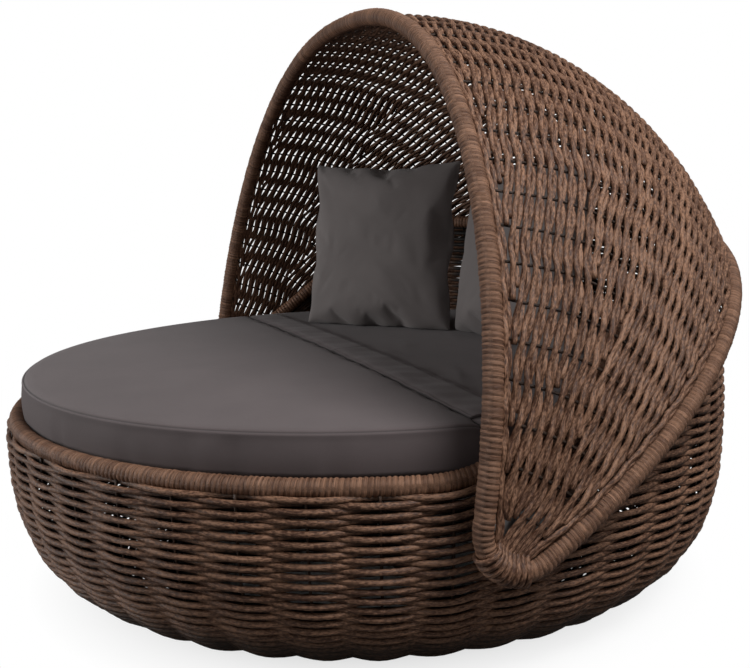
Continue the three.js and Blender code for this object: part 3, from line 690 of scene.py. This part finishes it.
class DAYBED_OT_canopy_weave(bpy.types.Operator):
    """Weave the canopy from tip to tip over its stakes, adding pairs of strands as it widens"""

    bl_idname = "daybed.canopy_weave"
    bl_label = "Weave the canopy"

    samples = 8
    base_pairs = 5
    birth_ramp = 0.12
    crown_without_births = 0.16
    middle_zone = (0.28, 0.8)
    ripple = 0.1748
    seen_from = (0.34, 0.62)
    hooked_share = 0.28
    tip_share = 0.66
    tip_length = 0.10
    first_stake = 0.05
    hook_reach = 0.0212
    hook_turns = (-75, 128)
    hook_points = 13
    hook_lift = 0.6
    zones = ("front", "middle", "rear", "middle", "rear", "front", "middle", "rear")

    def pair_births(self, side, pitch, seed):
        """Distance from the tip at which each pair starts, from the front rim to the rear rim."""
        rng = np.random.default_rng(seed)
        pairs = wicker().canopy_pairs
        wanted = (2 * self.base_pairs + 2 * np.arange(pairs - self.base_pairs)) * pitch
        width = np.maximum.accumulate(side.width)
        starts = np.interp(wanted, width, side.stations) - self.birth_ramp / 2
        starts = np.clip(starts, 0.0, side.total - self.crown_without_births)
        order = [-1.0] * self.base_pairs
        for m, start in enumerate(starts):
            zone = self.zones[m % len(self.zones)]
            place = {"front": 1, "rear": len(order) - 1}.get(zone)
            if place is None:
                place = int(round(len(order) * rng.uniform(*self.middle_zone)))
            order.insert(min(max(place, 1), len(order) - 1), start)
        return np.array(order)

    def execute(self, context):
        settings = wicker()
        sides = [CanopySide(1, self.samples), CanopySide(-1, self.samples)]
        pitch = sides[0].width[-1] / (2 * settings.canopy_pairs)
        layouts = []
        for side, seed in zip(sides, (3, 8)):
            births = self.pair_births(side, pitch, seed)
            weights = np.repeat(growing_places(births, side.stations, self.birth_ramp), 2, axis=0)
            layouts.append((weights, stacked(weights)))
        # Mild painted shade: deep parts of the canopy's weave darkened to 0.9.
        material = wicker_material("wicker_canopy", 0.9, 1.0, (-1.5, -0.6))
        rng = np.random.default_rng(21)
        front, rear = Strands(), Strands()
        for k in range(2 * settings.canopy_pairs):
            halves = [self.half_strand(side, *layout, k) for side, layout in zip(sides, layouts)]
            whole = [np.concatenate([right, left[::-1][1:]]) for right, left in zip(*halves)]
            path, outward, wave = whole
            uneven = np.sin(np.arange(len(path)) * self.ripple + rng.uniform(0, 2 * math.pi))
            radius = settings.canopy_radius * (1 + 0.04 * uneven)
            target = front if k < settings.canopy_pairs else rear
            target.add(path, outward, radius, rng.uniform(), wave)
        for name, group in (("canopy_strands_front", front), ("canopy_strands_rear", rear)):
            piece = group.build(name, material)
            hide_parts("canopy_weave")
            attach(piece, "canopy")
        self.add_stakes(sides, settings, rng)
        return {"FINISHED"}

    def half_strand(self, side, weights, shares, k):
        """Path, outward directions and wave of one strand from its start near the tip to the crown."""
        rows = np.flatnonzero(weights[k] > self.seen_from[k % 2])
        from_tip = smooth_step(side.stations[rows] / self.tip_length)
        gather = self.tip_share + (1 - self.tip_share) * from_tip
        share = 0.5 + (shares[k, rows] - 0.5) * gather
        base = side.at(rows, share, side.points)
        outward = unit(side.at(rows, share, side.outward))
        from_crown = (side.total - side.stations[rows]) / (side.total / side.stakes)
        wave = (-1) ** k * (0.5 + 0.5 * np.cos(2 * math.pi * from_crown))
        out = wave * wicker().canopy_swing * from_tip * weights[k, rows]
        path = base + outward * out[:, None]
        if rows[0] > 0 or abs(share[0] - 0.5) > self.hooked_share:
            return path, outward, wave
        start = (*self.hook(side, path[0]), np.full(self.hook_points, self.hook_lift))
        return [np.concatenate([a, b[1:]]) for a, b in zip(start, (path, outward, wave))]

    def hook(self, side, start):
        """Strand end that runs over the canopy's rim at the tip and ends behind it."""
        pivot = np.array([0.0, -PIVOT_FORWARD, PIVOT_HEIGHT])
        radial = unit((start - pivot) * (0, 1, 1))
        turn = np.radians(np.linspace(*self.hook_turns, self.hook_points))[:, None]
        outer = np.array([side.sign, 0.0, 0.0])
        direction = np.cos(turn) * radial + np.sin(turn) * outer
        centre = pivot + radial * TIP_RADIUS
        centre[0] = side.sign * CANOPY_HALF_WIDTH
        return centre + direction * self.hook_reach, direction

    def add_stakes(self, sides, settings, rng):
        stakes = Strands()
        shares = np.linspace(0, 1, 61)
        for side in sides:
            for m in range(side.stakes):
                row = len(side.stations) - 1 - m * self.samples
                middle_again = side.sign < 0 and m == 0
                if middle_again or side.stations[row] < self.first_stake:
                    continue
                rows = np.full(len(shares), row)
                path = side.at(rows, shares, side.points)
                outward = unit(side.at(rows, shares, side.outward))
                lift = np.full(len(path), STAKE_LIFT)
                stakes.add(path, outward, settings.stake_radius, rng.uniform(), lift)
        # Painted shade: canopy stakes darkened to 0.2, and to 0.25 where deep, for the shadowed gaps
        # they show through.
        piece = stakes.build("canopy_stakes", wicker_material("wicker_stake_canopy", 0.25, 0.2))
        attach(piece, "canopy")


def wrapped_rim(name, line, outward_of, core, relief, pitch, seed, material):
    """Rim tube wound with one strand: a groove between turns, a height and a tone for each turn."""
    sides, samples, uneven, squareness = 14, 6, 0.00035, 2.6
    turns = int(round(len(even_loop(line, pitch / samples)) / samples))
    path = even_loop(line, run_along(line)[-1] / (turns * samples))
    rings = len(path)
    tangent = unit(np.roll(path, -1, 0) - np.roll(path, 1, 0))
    turn = np.arange(sides) / sides * 2 * math.pi
    rim = circles(tangent, outward_of(path), turn)
    place = np.arange(rings)[:, None] / rings * turns + turn[None, :] / (2 * math.pi)
    index = np.floor(place).astype(int) % turns
    part = place - np.floor(place)
    rng = np.random.default_rng(seed)
    height_of, tone_of = rng.normal(0, uneven, turns), rng.uniform(0, 1, turns)
    wrap = np.sqrt(np.maximum(1 - np.abs(2 * part - 1) ** squareness, 0.0))
    radius = core + relief * wrap + height_of[index] * wrap
    points = (path[:, None] + rim * radius[..., None]).reshape(-1, 3)
    around = place * 2 * math.pi * (core + 0.003)
    grain = np.stack([around + tone_of[index] * 3.0, part * 0.010, np.zeros_like(part)], -1)
    values = {
        "grain": grain.reshape(-1, 3),
        "tone": tone_of[index].ravel(),
        # Painted shade: lift falls in the grooves between turns, which darkens them.
        "lift": (wrap * 1.7 - 0.9).ravel(),
    }
    return add_piece(name, points, tube_faces(rings, sides, True), material, values)


class DAYBED_OT_rims(bpy.types.Operator):
    """Wind the bowl's rim and the canopy's rim with wicker"""

    bl_idname = "daybed.rims"
    bl_label = "Wrap the rims"

    bowl_core, bowl_relief = 0.0138, 0.0040
    canopy_core, canopy_relief = 0.0146, 0.0032
    under_canopy = np.array([0.0, 0.35, 0.25])

    def canopy_line(self):
        front = canopy_point(0.0, np.linspace(1, -1, 400)[:-1], TIP_RADIUS)
        rear = canopy_point(1.0, np.linspace(-1, 1, 400)[:-1], TIP_RADIUS)
        swing = (1 - np.cos(np.linspace(0, math.pi, 60)[:-1])) / 2
        left = canopy_point(swing, -1.0, TIP_RADIUS)
        right = canopy_point(1 - swing, 1.0, TIP_RADIUS)
        return np.concatenate([front, left, rear, right])

    def bowl_line(self):
        angle = np.linspace(0, 2 * math.pi, 1201)[:-1]
        height = rim_height(angle)
        radius = np.interp(height, WALL["z"], WALL["r"])
        radius = np.where(height <= SEAT_RIM_HEIGHT, BOWL_RADIUS, radius) - RIM_TUBE_RADIUS
        return np.stack([radius * np.cos(angle), radius * np.sin(angle), height], 1)

    def level(self, path):
        return path * (1, 1, 0)

    def away(self, path):
        return path - self.under_canopy

    def execute(self, context):
        settings = wicker()
        # Painted shade in the grooves between turns, darkened to 0.18.
        material = wicker_material("wicker_wrap", 0.18, 1.12, (-0.9, 0.3))
        winding = (self.level, self.bowl_core, self.bowl_relief, settings.wrap_pitch)
        bowl = wrapped_rim("bowl_rim_wrap", self.bowl_line(), *winding, 5, material)
        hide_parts("bowl_rim")
        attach(bowl, "base")
        winding = (self.away, self.canopy_core, self.canopy_relief, settings.canopy_wrap_pitch)
        canopy = wrapped_rim("canopy_rim_wrap", self.canopy_line(), *winding, 6, material)
        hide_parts("canopy_rim")
        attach(canopy, "canopy")
        return {"FINISHED"}


# Upholstery

# How far in from the mattress's radius and down from its top the points of its edge seam lie
EDGE_SEAM = (
    (-0.0022, 0.0085), (-0.0018, 0.0062), (0.0, 0.0046), (0.0014, 0.0042),
    (0.0026, 0.0052), (0.0036, 0.0036), (0.0048, 0.0020), (0.0064, 0.0008),
)


def mattress_profile():
    """Radius and height round half the mattress: foot, fuller side, edge seam, crowned top."""
    radius, foot, top, corner = MATTRESS_RADIUS, MATTRESS_FOOT_RADIUS, MATTRESS_TOP, 0.012
    points = [(0.0, MATTRESS_BOTTOM), (foot - corner, MATTRESS_BOTTOM)]
    points += [(foot, MATTRESS_BOTTOM + corner), (foot, MATTRESS_SHELF - 0.003)]
    for share in np.linspace(0, 1, 9):
        height = MATTRESS_SHELF + share * (top - corner - MATTRESS_SHELF)
        points.append((radius + 0.003 * math.sin(math.pi * share) + 0.002, height))
    points += [(radius - inward, top - down) for inward, down in EDGE_SEAM]
    for share in np.linspace(1, 0, 46):
        points.append(((radius - MATTRESS_EDGE) * share, top + MATTRESS_CROWN * (1 - share**2)))
    return points


def painted_seam_shade(x, y, z, stretch):
    """Strength of the painted seam shade at each point of a pad, at its edge seam and its cross seam,
    where the cloth is drawn in.
    """
    from_edge = np.hypot(x, y / stretch) - (MATTRESS_RADIUS - 0.0022)
    edge = np.exp(-((from_edge / 0.0015) ** 2)) * (z > MATTRESS_TOP - 0.008)
    cross = np.exp(-((np.abs(y - SEAM_Y) / 0.0024) ** 2)) * (z > PAD_UPPER_PART)
    return np.maximum(edge, cross)


def pad_mesh(name, front, stretch):
    """Plain mesh of one pad: the turned profile, cut near the cross seam and closed at it."""
    steps = 260
    made = bmesh.new()
    rings = []
    for radius, height in mattress_profile():
        turns = [i / steps * 2 * math.pi for i in range(steps if radius > 1e-6 else 1)]
        ring = [(radius * math.cos(t), radius * math.sin(t) * stretch, height) for t in turns]
        rings.append([made.verts.new(point) for point in ring])
    for low, high in zip(rings, rings[1:]):
        for i in range(steps):
            j = (i + 1) % steps
            if len(low) == 1:
                made.faces.new((low[0], high[j], high[i]))
            elif len(high) == 1:
                made.faces.new((low[i], low[j], high[0]))
            else:
                made.faces.new((low[i], low[j], high[j], high[i]))
    sign = -1 if front else 1

    def cut(distance, **way):
        whole = made.verts[:] + made.edges[:] + made.faces[:]
        place = (0, SEAM_Y + sign * distance, 0)
        bmesh.ops.bisect_plane(made, geom=whole, plane_co=place, **way)

    for distance in (0.0015, 0.004, 0.008, 0.013, 0.020, 0.030, 0.045):
        cut(distance, plane_no=(0, 1, 0))
    cut(0.0005, plane_no=(0, -sign, 0), clear_outer=True)
    bmesh.ops.holes_fill(made, edges=[e for e in made.edges if e.is_boundary])
    bmesh.ops.recalc_face_normals(made, faces=made.faces[:])
    mesh = bpy.data.meshes.new(name)
    made.to_mesh(mesh)
    made.free()
    return mesh


def mattress_pad(name, front, material):
    """One pad of the mattress, drawn in at its seams, with wrinkles on top and folds in its side."""
    stretch = FRONT_STRETCH if front else 1.0
    mesh = pad_mesh(name, front, stretch)
    rng = np.random.default_rng(4 if front else 5)
    phases = rng.uniform(0, 2 * math.pi, 8)
    depth = bpy.context.scene.daybed_fabric.seam_depth
    x, y, z = coordinates(mesh).T
    seam = painted_seam_shade(x, y, z, stretch)
    gap = np.abs(y - SEAM_Y)
    pucker = 1 + 0.35 * np.sin(x * 61 + phases[0]) + 0.25 * np.sin(x * 143 + phases[1])
    drop = -depth * pucker * np.exp(-gap / SEAM_FALL)
    drop += 0.0012 * np.sin(x * 4.1 + phases[2]) * np.cos(y * 5.3 + phases[3])
    drop += 0.0009 * np.sin(x * 17 + y * 9 + phases[4]) * np.exp(-gap / 0.12)
    wrinkles = rng.uniform((-0.6, -0.1, -0.5, 0.04), (0.65, 0.35, 0.5, 0.10), (PAD_WRINKLES, 4))
    for middle_x, middle_y, way, reach in wrinkles:
        along = (x - middle_x) * math.cos(way) + (y - middle_y) * math.sin(way)
        beside = (y - middle_y) * math.cos(way) - (x - middle_x) * math.sin(way)
        drop += 0.0022 * np.exp(-((along / reach) ** 2) - (beside / 0.007) ** 2) * (not front)
    z = z + drop * (z > PAD_UPPER_PART)
    angle = np.arctan2(y, x)
    fold = 0.0008 * np.sin(angle * 23 + phases[5])
    for middle in rng.uniform(-math.pi, math.pi, SIDE_FOLDS):
        turn = np.angle(np.exp(1j * (angle - middle)))
        fold += 0.0034 * np.exp(-((turn / 0.015) ** 2))
    on_side = smooth_step((MATTRESS_TOP - 0.004 - z) / 0.03)
    on_side *= np.hypot(x, y / stretch) > MATTRESS_RADIUS - 0.001
    outward = 1 - fold * on_side / MATTRESS_RADIUS
    points = np.stack([x * outward, y * outward, z], 1).astype(np.float32)
    mesh.vertices.foreach_set("co", points.ravel())
    # Painted seam shade along the edge seam and the cross seam.
    seams = mesh.attributes.new("seam", "FLOAT", "POINT")
    seams.data.foreach_set("value", seam.astype(np.float32))
    mesh.polygons.foreach_set("use_smooth", np.ones(len(mesh.polygons), bool))
    mesh.materials.append(material)
    return add_object(name, mesh)


# How far behind the seam and how high over the pad the closure band's points lie
BAND_PROFILE = (
    (0.0, 0.0), (0.0, 0.0024), (0.0015, 0.0036), (0.0032, 0.0034), (0.0050, 0.0022),
    (0.0070, 0.0032), (0.012, 0.0038), (0.024, 0.0036), (0.036, 0.0032), (0.048, 0.0034),
    (0.060, 0.0032), (0.072, 0.0036), (0.0780, 0.0034), (0.0796, 0.0024), (0.0812, 0.0034),
    (0.0845, 0.0028), (0.0862, 0.0010), (0.0862, 0.0),
)
# Painted seam shade where the cloth is drawn in, and painted highlight (negative) where it swells out,
# on some of these lines
BAND_SEAM_SHADE_AND_HIGHLIGHT = {0.0: 0.9, 0.0015: -0.5, 0.0050: 0.8, 0.0796: 0.8, 0.0862: 0.9}


class DAYBED_OT_mattress(bpy.types.Operator):
    """Upholster the two mattress pads and the closure band behind their seam"""

    bl_idname = "daybed.mattress"
    bl_label = "Upholster the mattress"

    def execute(self, context):
        colour = tuple(context.scene.daybed_fabric.seat_colour)
        material = fabric_material("seat_cloth", colour, 0.0008)
        for name, front, node, body in (
            ("mattress_pad_front", True, "mattress_front", "front_cushion"),
            ("mattress_pad_rear", False, "mattress_rear", "rear_cushion"),
        ):
            piece = mattress_pad(name, front, material)
            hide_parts(node)
            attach(piece, body)
        band = self.closure_band(material)
        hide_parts("mattress_band")
        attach(band, "rear_cushion")
        return {"FINISHED"}

    def closure_band(self, material):
        """The band as one closed tube along the seam, which follows the rear pad's crown."""
        low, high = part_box("mattress_band")
        near_seam = CROSS_SEAM_X + np.array([-0.003, -0.0015, 0, 0.0015, 0.003])
        across = np.union1d(np.linspace(low.x, high.x, 260), near_seam)
        from_seam = across - CROSS_SEAM_X
        rows = []
        for back, lift in BAND_PROFILE:
            y = SEAM_Y + 0.0008 + back
            reach = (across**2 + y**2) / (MATTRESS_RADIUS - 0.016) ** 2
            crown = MATTRESS_TOP + MATTRESS_CROWN * (1 - reach)
            wrinkle = 0.0008 * np.sin(across * 38 + back * 20)
            wrinkle += 0.0005 * np.sin(across * 97 - back * 45)
            wrinkle -= 0.0016 * np.exp(-((from_seam / 0.0022) ** 2))
            dip = -0.004 * math.exp(-back / SEAM_FALL)
            height = crown + dip + lift + 0.0004 + wrinkle * (lift > 0.002)
            rows.append(np.stack([across, np.full_like(across, y), height], 1))
        grid = np.array(rows)
        count, length = grid.shape[:2]
        first, run = np.arange(count) * length, np.arange(length - 1)
        start, following = first[:, None] + run, np.roll(first, -1)[:, None] + run
        faces = np.stack([start, start + 1, following + 1, following], -1).reshape(-1, 4).tolist()
        faces += [first.tolist(), (first[::-1] + length - 1).tolist()]
        # Painted shade along the band's drawn-in lines and its cross seam, and painted highlight on its
        # swelling line.
        seam = np.array([np.full(length, BAND_SEAM_SHADE_AND_HIGHLIGHT.get(back, 0.0)) for back, _ in BAND_PROFILE])
        seam = np.maximum(seam, np.exp(-((from_seam / 0.0016) ** 2)) * 0.8)
        return add_piece("closure_band", grid.reshape(-1, 3), faces, material, {"seam": seam.ravel()})


def flat_pillow(cells, seed):
    """Two squares of cloth with edges on one another, a little filled and not quite even."""
    size, thickness = PILLOW_FLAT_SIZE, PILLOW_FLAT_THICKNESS
    steps = np.linspace(-1, 1, cells + 1)
    u, v = np.meshgrid(steps, steps, indexing="ij")
    full = np.sqrt(np.maximum((1 - u**2) * (1 - v**2), 0))
    a, b, c, d = np.random.default_rng(seed).uniform(0, 2 * math.pi, 4)
    x, z = u * size / 2, v * size / 2
    uneven = 0.003 * np.sin(31 * x + a) * np.sin(27 * z + b) + 0.002 * np.sin(63 * x + 40 * z + c)
    uneven += 0.004 * np.sin(13 * x + 9 * z + d)
    bulge = full * thickness / 2
    points = np.concatenate([np.stack([x, side * bulge + uneven, z], -1) for side in (1, -1)])
    # Painted highlight along the pillow's edges: a negative seam value lightens the cloth.
    seam = np.where(np.maximum(np.abs(u), np.abs(v)) > 0.999, -0.45, 0.0).ravel()
    row = cells + 1
    i, j = np.meshgrid(np.arange(cells), np.arange(cells), indexing="ij")
    corner = (i * row + j).ravel()
    near = np.stack([corner, corner + 1, corner + row + 1, corner + row], 1)
    faces = np.concatenate([near, near[:, [0, 3, 2, 1]] + row * row])
    return points.reshape(-1, 3), faces, {"seam": np.tile(seam, 2)}


def coordinates(mesh):
    flat = np.zeros(len(mesh.vertices) * 3, np.float32)
    mesh.vertices.foreach_get("co", flat)
    return flat.reshape(-1, 3).astype(float)


def blow_up(piece, pressure, frames):
    """Fills a closed cloth piece with air pressure and keeps the result."""
    swelling = piece.modifiers.new("Cloth", "CLOTH")
    cloth = swelling.settings
    cloth.quality = 7
    cloth.mass = 0.3
    cloth.tension_stiffness = cloth.compression_stiffness = 15
    cloth.shear_stiffness = 6
    cloth.bending_stiffness = 0.35
    cloth.air_damping = 8
    cloth.use_pressure = True
    cloth.uniform_pressure_force = pressure
    cloth.effector_weights.gravity = 0
    swelling.point_cache.frame_start, swelling.point_cache.frame_end = 1, frames
    scene = bpy.context.scene
    for number in range(1, frames + 1):
        scene.frame_set(number)
    shape = piece.evaluated_get(bpy.context.evaluated_depsgraph_get())
    swollen = coordinates(shape.data)
    piece.modifiers.remove(swelling)
    scene.frame_set(1)
    return swollen


def turned(first, second, angle):
    """Two coordinates turned by an angle, the first towards the second."""
    cos, sin = math.cos(angle), math.sin(angle)
    return first * cos - second * sin, first * sin + second * cos


def mattress_top(x, y):
    """Height of the mattress's crowned top."""
    stretch = np.where(y < SEAM_Y, y / FRONT_STRETCH, y)
    reach = (x**2 + stretch**2) / (MATTRESS_RADIUS - MATTRESS_EDGE) ** 2
    return MATTRESS_TOP + MATTRESS_CROWN * (1 - reach)


class DAYBED_OT_pillows(bpy.types.Operator):
    """Fill the two throw pillows by cloth simulation and set them down on the mattress"""

    bl_idname = "daybed.pillows"
    bl_label = "Stuff the pillows"

    cells = 60
    pressure = 3.2
    frames = 24
    quick_swelling = 2.2
    sink = 0.005

    def filled(self, piece):
        """The pillow's points, blown up and brought to its size, with its foot pressed straight."""
        points = blow_up(piece, self.pressure, self.frames)
        low, high = points.min(0), points.max(0)
        size = (PILLOW_SIZE, PILLOW_THICKNESS, PILLOW_SIZE)
        points = (points - (low + high) / 2) / (high - low) * size
        points[:, 2] += PILLOW_SIZE / 2
        edge = points[np.abs(points[:, 2]) < 0.03]
        bands = np.linspace(-PILLOW_SIZE / 2, PILLOW_SIZE / 2, 25)
        middles = (bands[1:] + bands[:-1]) / 2
        lowest = [edge[np.abs(edge[:, 0] - x) < 0.02, 2].min() for x in middles]
        hollow = np.interp(points[:, 0], middles, lowest)
        points[:, 2] -= hollow * np.exp(-np.maximum(points[:, 2] - hollow, 0) / 0.07)
        return points

    def execute(self, context):
        colour = tuple(context.scene.daybed_fabric.pillow_colour)
        cloth = fabric_material("pillow_cloth", colour, 0.0007)
        for side, seat in PILLOWS.items():
            shape = flat_pillow(self.cells, seat["seed"])
            piece = add_piece(f"pillow_cover_{side}", *shape[:2], cloth, shape[2])
            join_points(piece)
            x, y, z = self.filled(piece).T
            turn, lean = math.radians(seat["turn"]), math.radians(seat["lean"])
            y, z = turned(y, z, -lean)
            x, y = turned(x, y, turn)
            x, y = x + seat["x"], y + seat["y"]
            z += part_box(f"pillow_{side}")[0].z - z.min() - self.sink
            top = mattress_top(x, y) + 0.0006
            z = np.where(z < top, top + 0.0004 * np.sin(90 * x), z)
            points = np.stack([x, y, z], 1).astype(np.float32)
            piece.data.vertices.foreach_set("co", points.ravel())
            finer = piece.modifiers.new("finer", "SUBSURF")
            finer.levels = finer.render_levels = 1
            context.view_layer.objects.active = piece
            bpy.ops.object.modifier_apply(modifier="finer")
            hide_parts(f"pillow_{side}")
            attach(piece, f"{side}_pillow")
        return {"FINISHED"}


class DAYBED_OT_frame_finishes(bpy.types.Operator):
    """Give the carried-over frame parts their metal, nylon and rubber finishes"""

    bl_idname = "daybed.frame_finishes"
    bl_label = "Finish the frame"

    def execute(self, context):
        finishes = {
            "frame": metal_material("brown_powder_coat", (0.045, 0.032, 0.026), 0.3, 0.45),
            "slat": metal_material("dark_powder_coat", (0.07, 0.058, 0.05), 0.3, 0.42),
            "steel": metal_material("zinc_plate", (0.42, 0.42, 0.43), 0.95, 0.35, 240.0),
            "nylon": moulded_material("black_nylon", (0.012, 0.012, 0.013), 0.5),
            "rubber": moulded_material("black_rubber", (0.016, 0.016, 0.016), 0.8, 260.0),
        }
        starts = {
            "frame": ("bottom_", "centre_post", "rib_", "pivot_post", "deck_ring", "deck_beam"),
            "slat": ("deck_slat",),
            "steel": ("canopy_pivot", "pivot_sleeve", "pivot_washer", "pivot_nut"),
            "nylon": ("pivot_spacer", "glide_", "centre_glide"),
            "rubber": ("rear_rest",),
        }
        for kind, names in starts.items():
            for node in (node for name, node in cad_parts.items() if name.startswith(names)):
                for slot in node.material_slots:
                    slot.link = "OBJECT"
                    slot.material = finishes[kind]
        return {"FINISHED"}


class DAYBED_OT_stage(bpy.types.Operator):
    """Set the camera, the pale floor and the soft studio lights"""

    bl_idname = "daybed.stage"
    bl_label = "Set the stage"

    azimuth, elevation, roll = math.radians(68.13), math.radians(8.96), math.radians(-1.33)
    distance = 2.3867
    lens, sensor_width = 47.87, 36.0
    target_right, target_height = 0.0264, 0.5225
    floor_half = 40.0
    shade_radius = 0.50
    white_radius = 0.80
    fade_power = 0.3
    bounce_share = 0.16
    light_size = 1.6
    light_aim = (0, 0, 0.5)
    sky_strength = 0.27

    def add_camera(self):
        data = bpy.data.cameras.new("Camera")
        data.lens, data.sensor_width = self.lens, self.sensor_width
        camera = add_object("Camera", data)
        a, e = self.azimuth, self.elevation
        right = Vector((math.cos(a), math.sin(a), 0))
        back = Vector((math.sin(a) * math.cos(e), -math.cos(a) * math.cos(e), math.sin(e)))
        up = back.cross(right)
        across = right * math.cos(self.roll) + up * math.sin(self.roll)
        upright = up * math.cos(self.roll) - right * math.sin(self.roll)
        turn = Matrix((across, upright, back)).transposed().to_4x4()
        target = right * self.target_right + Vector((0, 0, self.target_height))
        camera.matrix_world = Matrix.Translation(target + back * self.distance) @ turn
        bpy.context.scene.camera = camera

    def add_floor(self, colour):
        """Plain floor, seen white away from the daybed, that bounces little light."""
        half = self.floor_half
        points = [(x * half, y * half, 0.0) for x, y in ((-1, -1), (1, -1), (1, 1), (-1, 1))]
        made = Nodes("pale_floor")
        seen = made.add("ShaderNodeLightPath").outputs["Is Camera Ray"]
        white = made.add("ShaderNodeEmission", None, Color=(1, 1, 1, 1), Strength=1.0)
        seen_colour = made.mix(seen, scaled(colour, self.bounce_share), colour)
        plain = made.add("ShaderNodeBsdfDiffuse", None, Color=seen_colour)
        place = made.split_place()
        squares = [made.math("POWER", made.math("ABSOLUTE", axis), 2.0) for axis in place[:2]]
        distance = made.math("SQRT", made.math("ADD", *squares))
        clear = made.map_range(distance, self.shade_radius, self.white_radius, 0.0, 1.0)
        share = made.math("MULTIPLY", seen, made.math("POWER", clear, self.fade_power))
        mix = made.add("ShaderNodeMixShader", None, i0=share, i1=plain, i2=white)
        made.put(made.tree.nodes["Material Output"].inputs["Surface"], mix)
        floor = add_piece("floor", points, [(0, 1, 2, 3)], made.material)

    def add_light(self, name, place, power):
        data = bpy.data.lights.new(name, "AREA")
        data.shape, data.size, data.energy = "DISK", self.light_size, power
        light = add_object(name, data)
        light.location = place
        way = Vector(self.light_aim) - Vector(place)
        light.rotation_euler = way.to_track_quat("-Z", "Y").to_euler()

    def add_world(self):
        world = bpy.data.worlds.new("studio")
        bpy.context.scene.world = world
        world.use_nodes = True
        tree = world.node_tree
        soft = tree.nodes["Background"]
        soft.inputs["Color"].default_value = (1.0, 0.99, 0.98, 1.0)
        soft.inputs["Strength"].default_value = self.sky_strength
        white = tree.nodes.new("ShaderNodeBackground")
        white.inputs["Color"].default_value = (1, 1, 1, 1)
        white.inputs["Strength"].default_value = 1.0
        rays = tree.nodes.new("ShaderNodeLightPath")
        mix = tree.nodes.new("ShaderNodeMixShader")
        tree.links.new(rays.outputs["Is Camera Ray"], mix.inputs[0])
        tree.links.new(soft.outputs[0], mix.inputs[1])
        tree.links.new(white.outputs[0], mix.inputs[2])
        tree.links.new(mix.outputs[0], tree.nodes["World Output"].inputs["Surface"])

    def execute(self, context):
        studio = context.scene.daybed_studio
        self.add_camera()
        self.add_floor(tuple(studio.floor_colour))
        self.add_light("key", (2.25, 0.55, 3.2), studio.key_power)
        self.add_light("fill", (-1.3, -3.7, 1.0), studio.fill_power)
        self.add_world()
        context.scene.view_settings.view_transform = "Standard"
        return {"FINISHED"}


class DAYBED_PT_panel(bpy.types.Panel):
    """Steps that build the daybed"""

    bl_idname = "DAYBED_PT_panel"
    bl_label = "Daybed"
    bl_space_type = "VIEW_3D"
    bl_region_type = "UI"
    bl_category = "Daybed"

    def draw(self, context):
        for name in GROUPS:
            group = getattr(context.scene, name)
            for key in group.bl_rna.properties.keys():
                if key not in ("rna_type", "name"):
                    self.layout.prop(group, key)
        for step in STEPS:
            self.layout.operator(step.bl_idname)


STEPS = (
    DAYBED_OT_stage,
    DAYBED_OT_bowl_weave,
    DAYBED_OT_canopy_weave,
    DAYBED_OT_rims,
    DAYBED_OT_mattress,
    DAYBED_OT_pillows,
    DAYBED_OT_frame_finishes,
)
GROUPS = {"daybed_wicker": DaybedWicker, "daybed_fabric": DaybedFabric, "daybed_studio": DaybedStudio}


def register():
    for made in (*GROUPS.values(), *STEPS, DAYBED_PT_panel):
        bpy.utils.register_class(made)
    for name, group in GROUPS.items():
        setattr(bpy.types.Scene, name, bpy.props.PointerProperty(type=group))


def unregister():
    for name in GROUPS:
        delattr(bpy.types.Scene, name)
    for made in reversed((*GROUPS.values(), *STEPS, DAYBED_PT_panel)):
        bpy.utils.unregister_class(made)


def main():
    register()
    bpy.ops.daybed.stage()
    bpy.ops.daybed.bowl_weave()
    bpy.ops.daybed.canopy_weave()
    bpy.ops.daybed.rims()
    bpy.ops.daybed.mattress()
    bpy.ops.daybed.pillows()
    bpy.ops.daybed.frame_finishes()


if __name__ == "__main__":
    main()
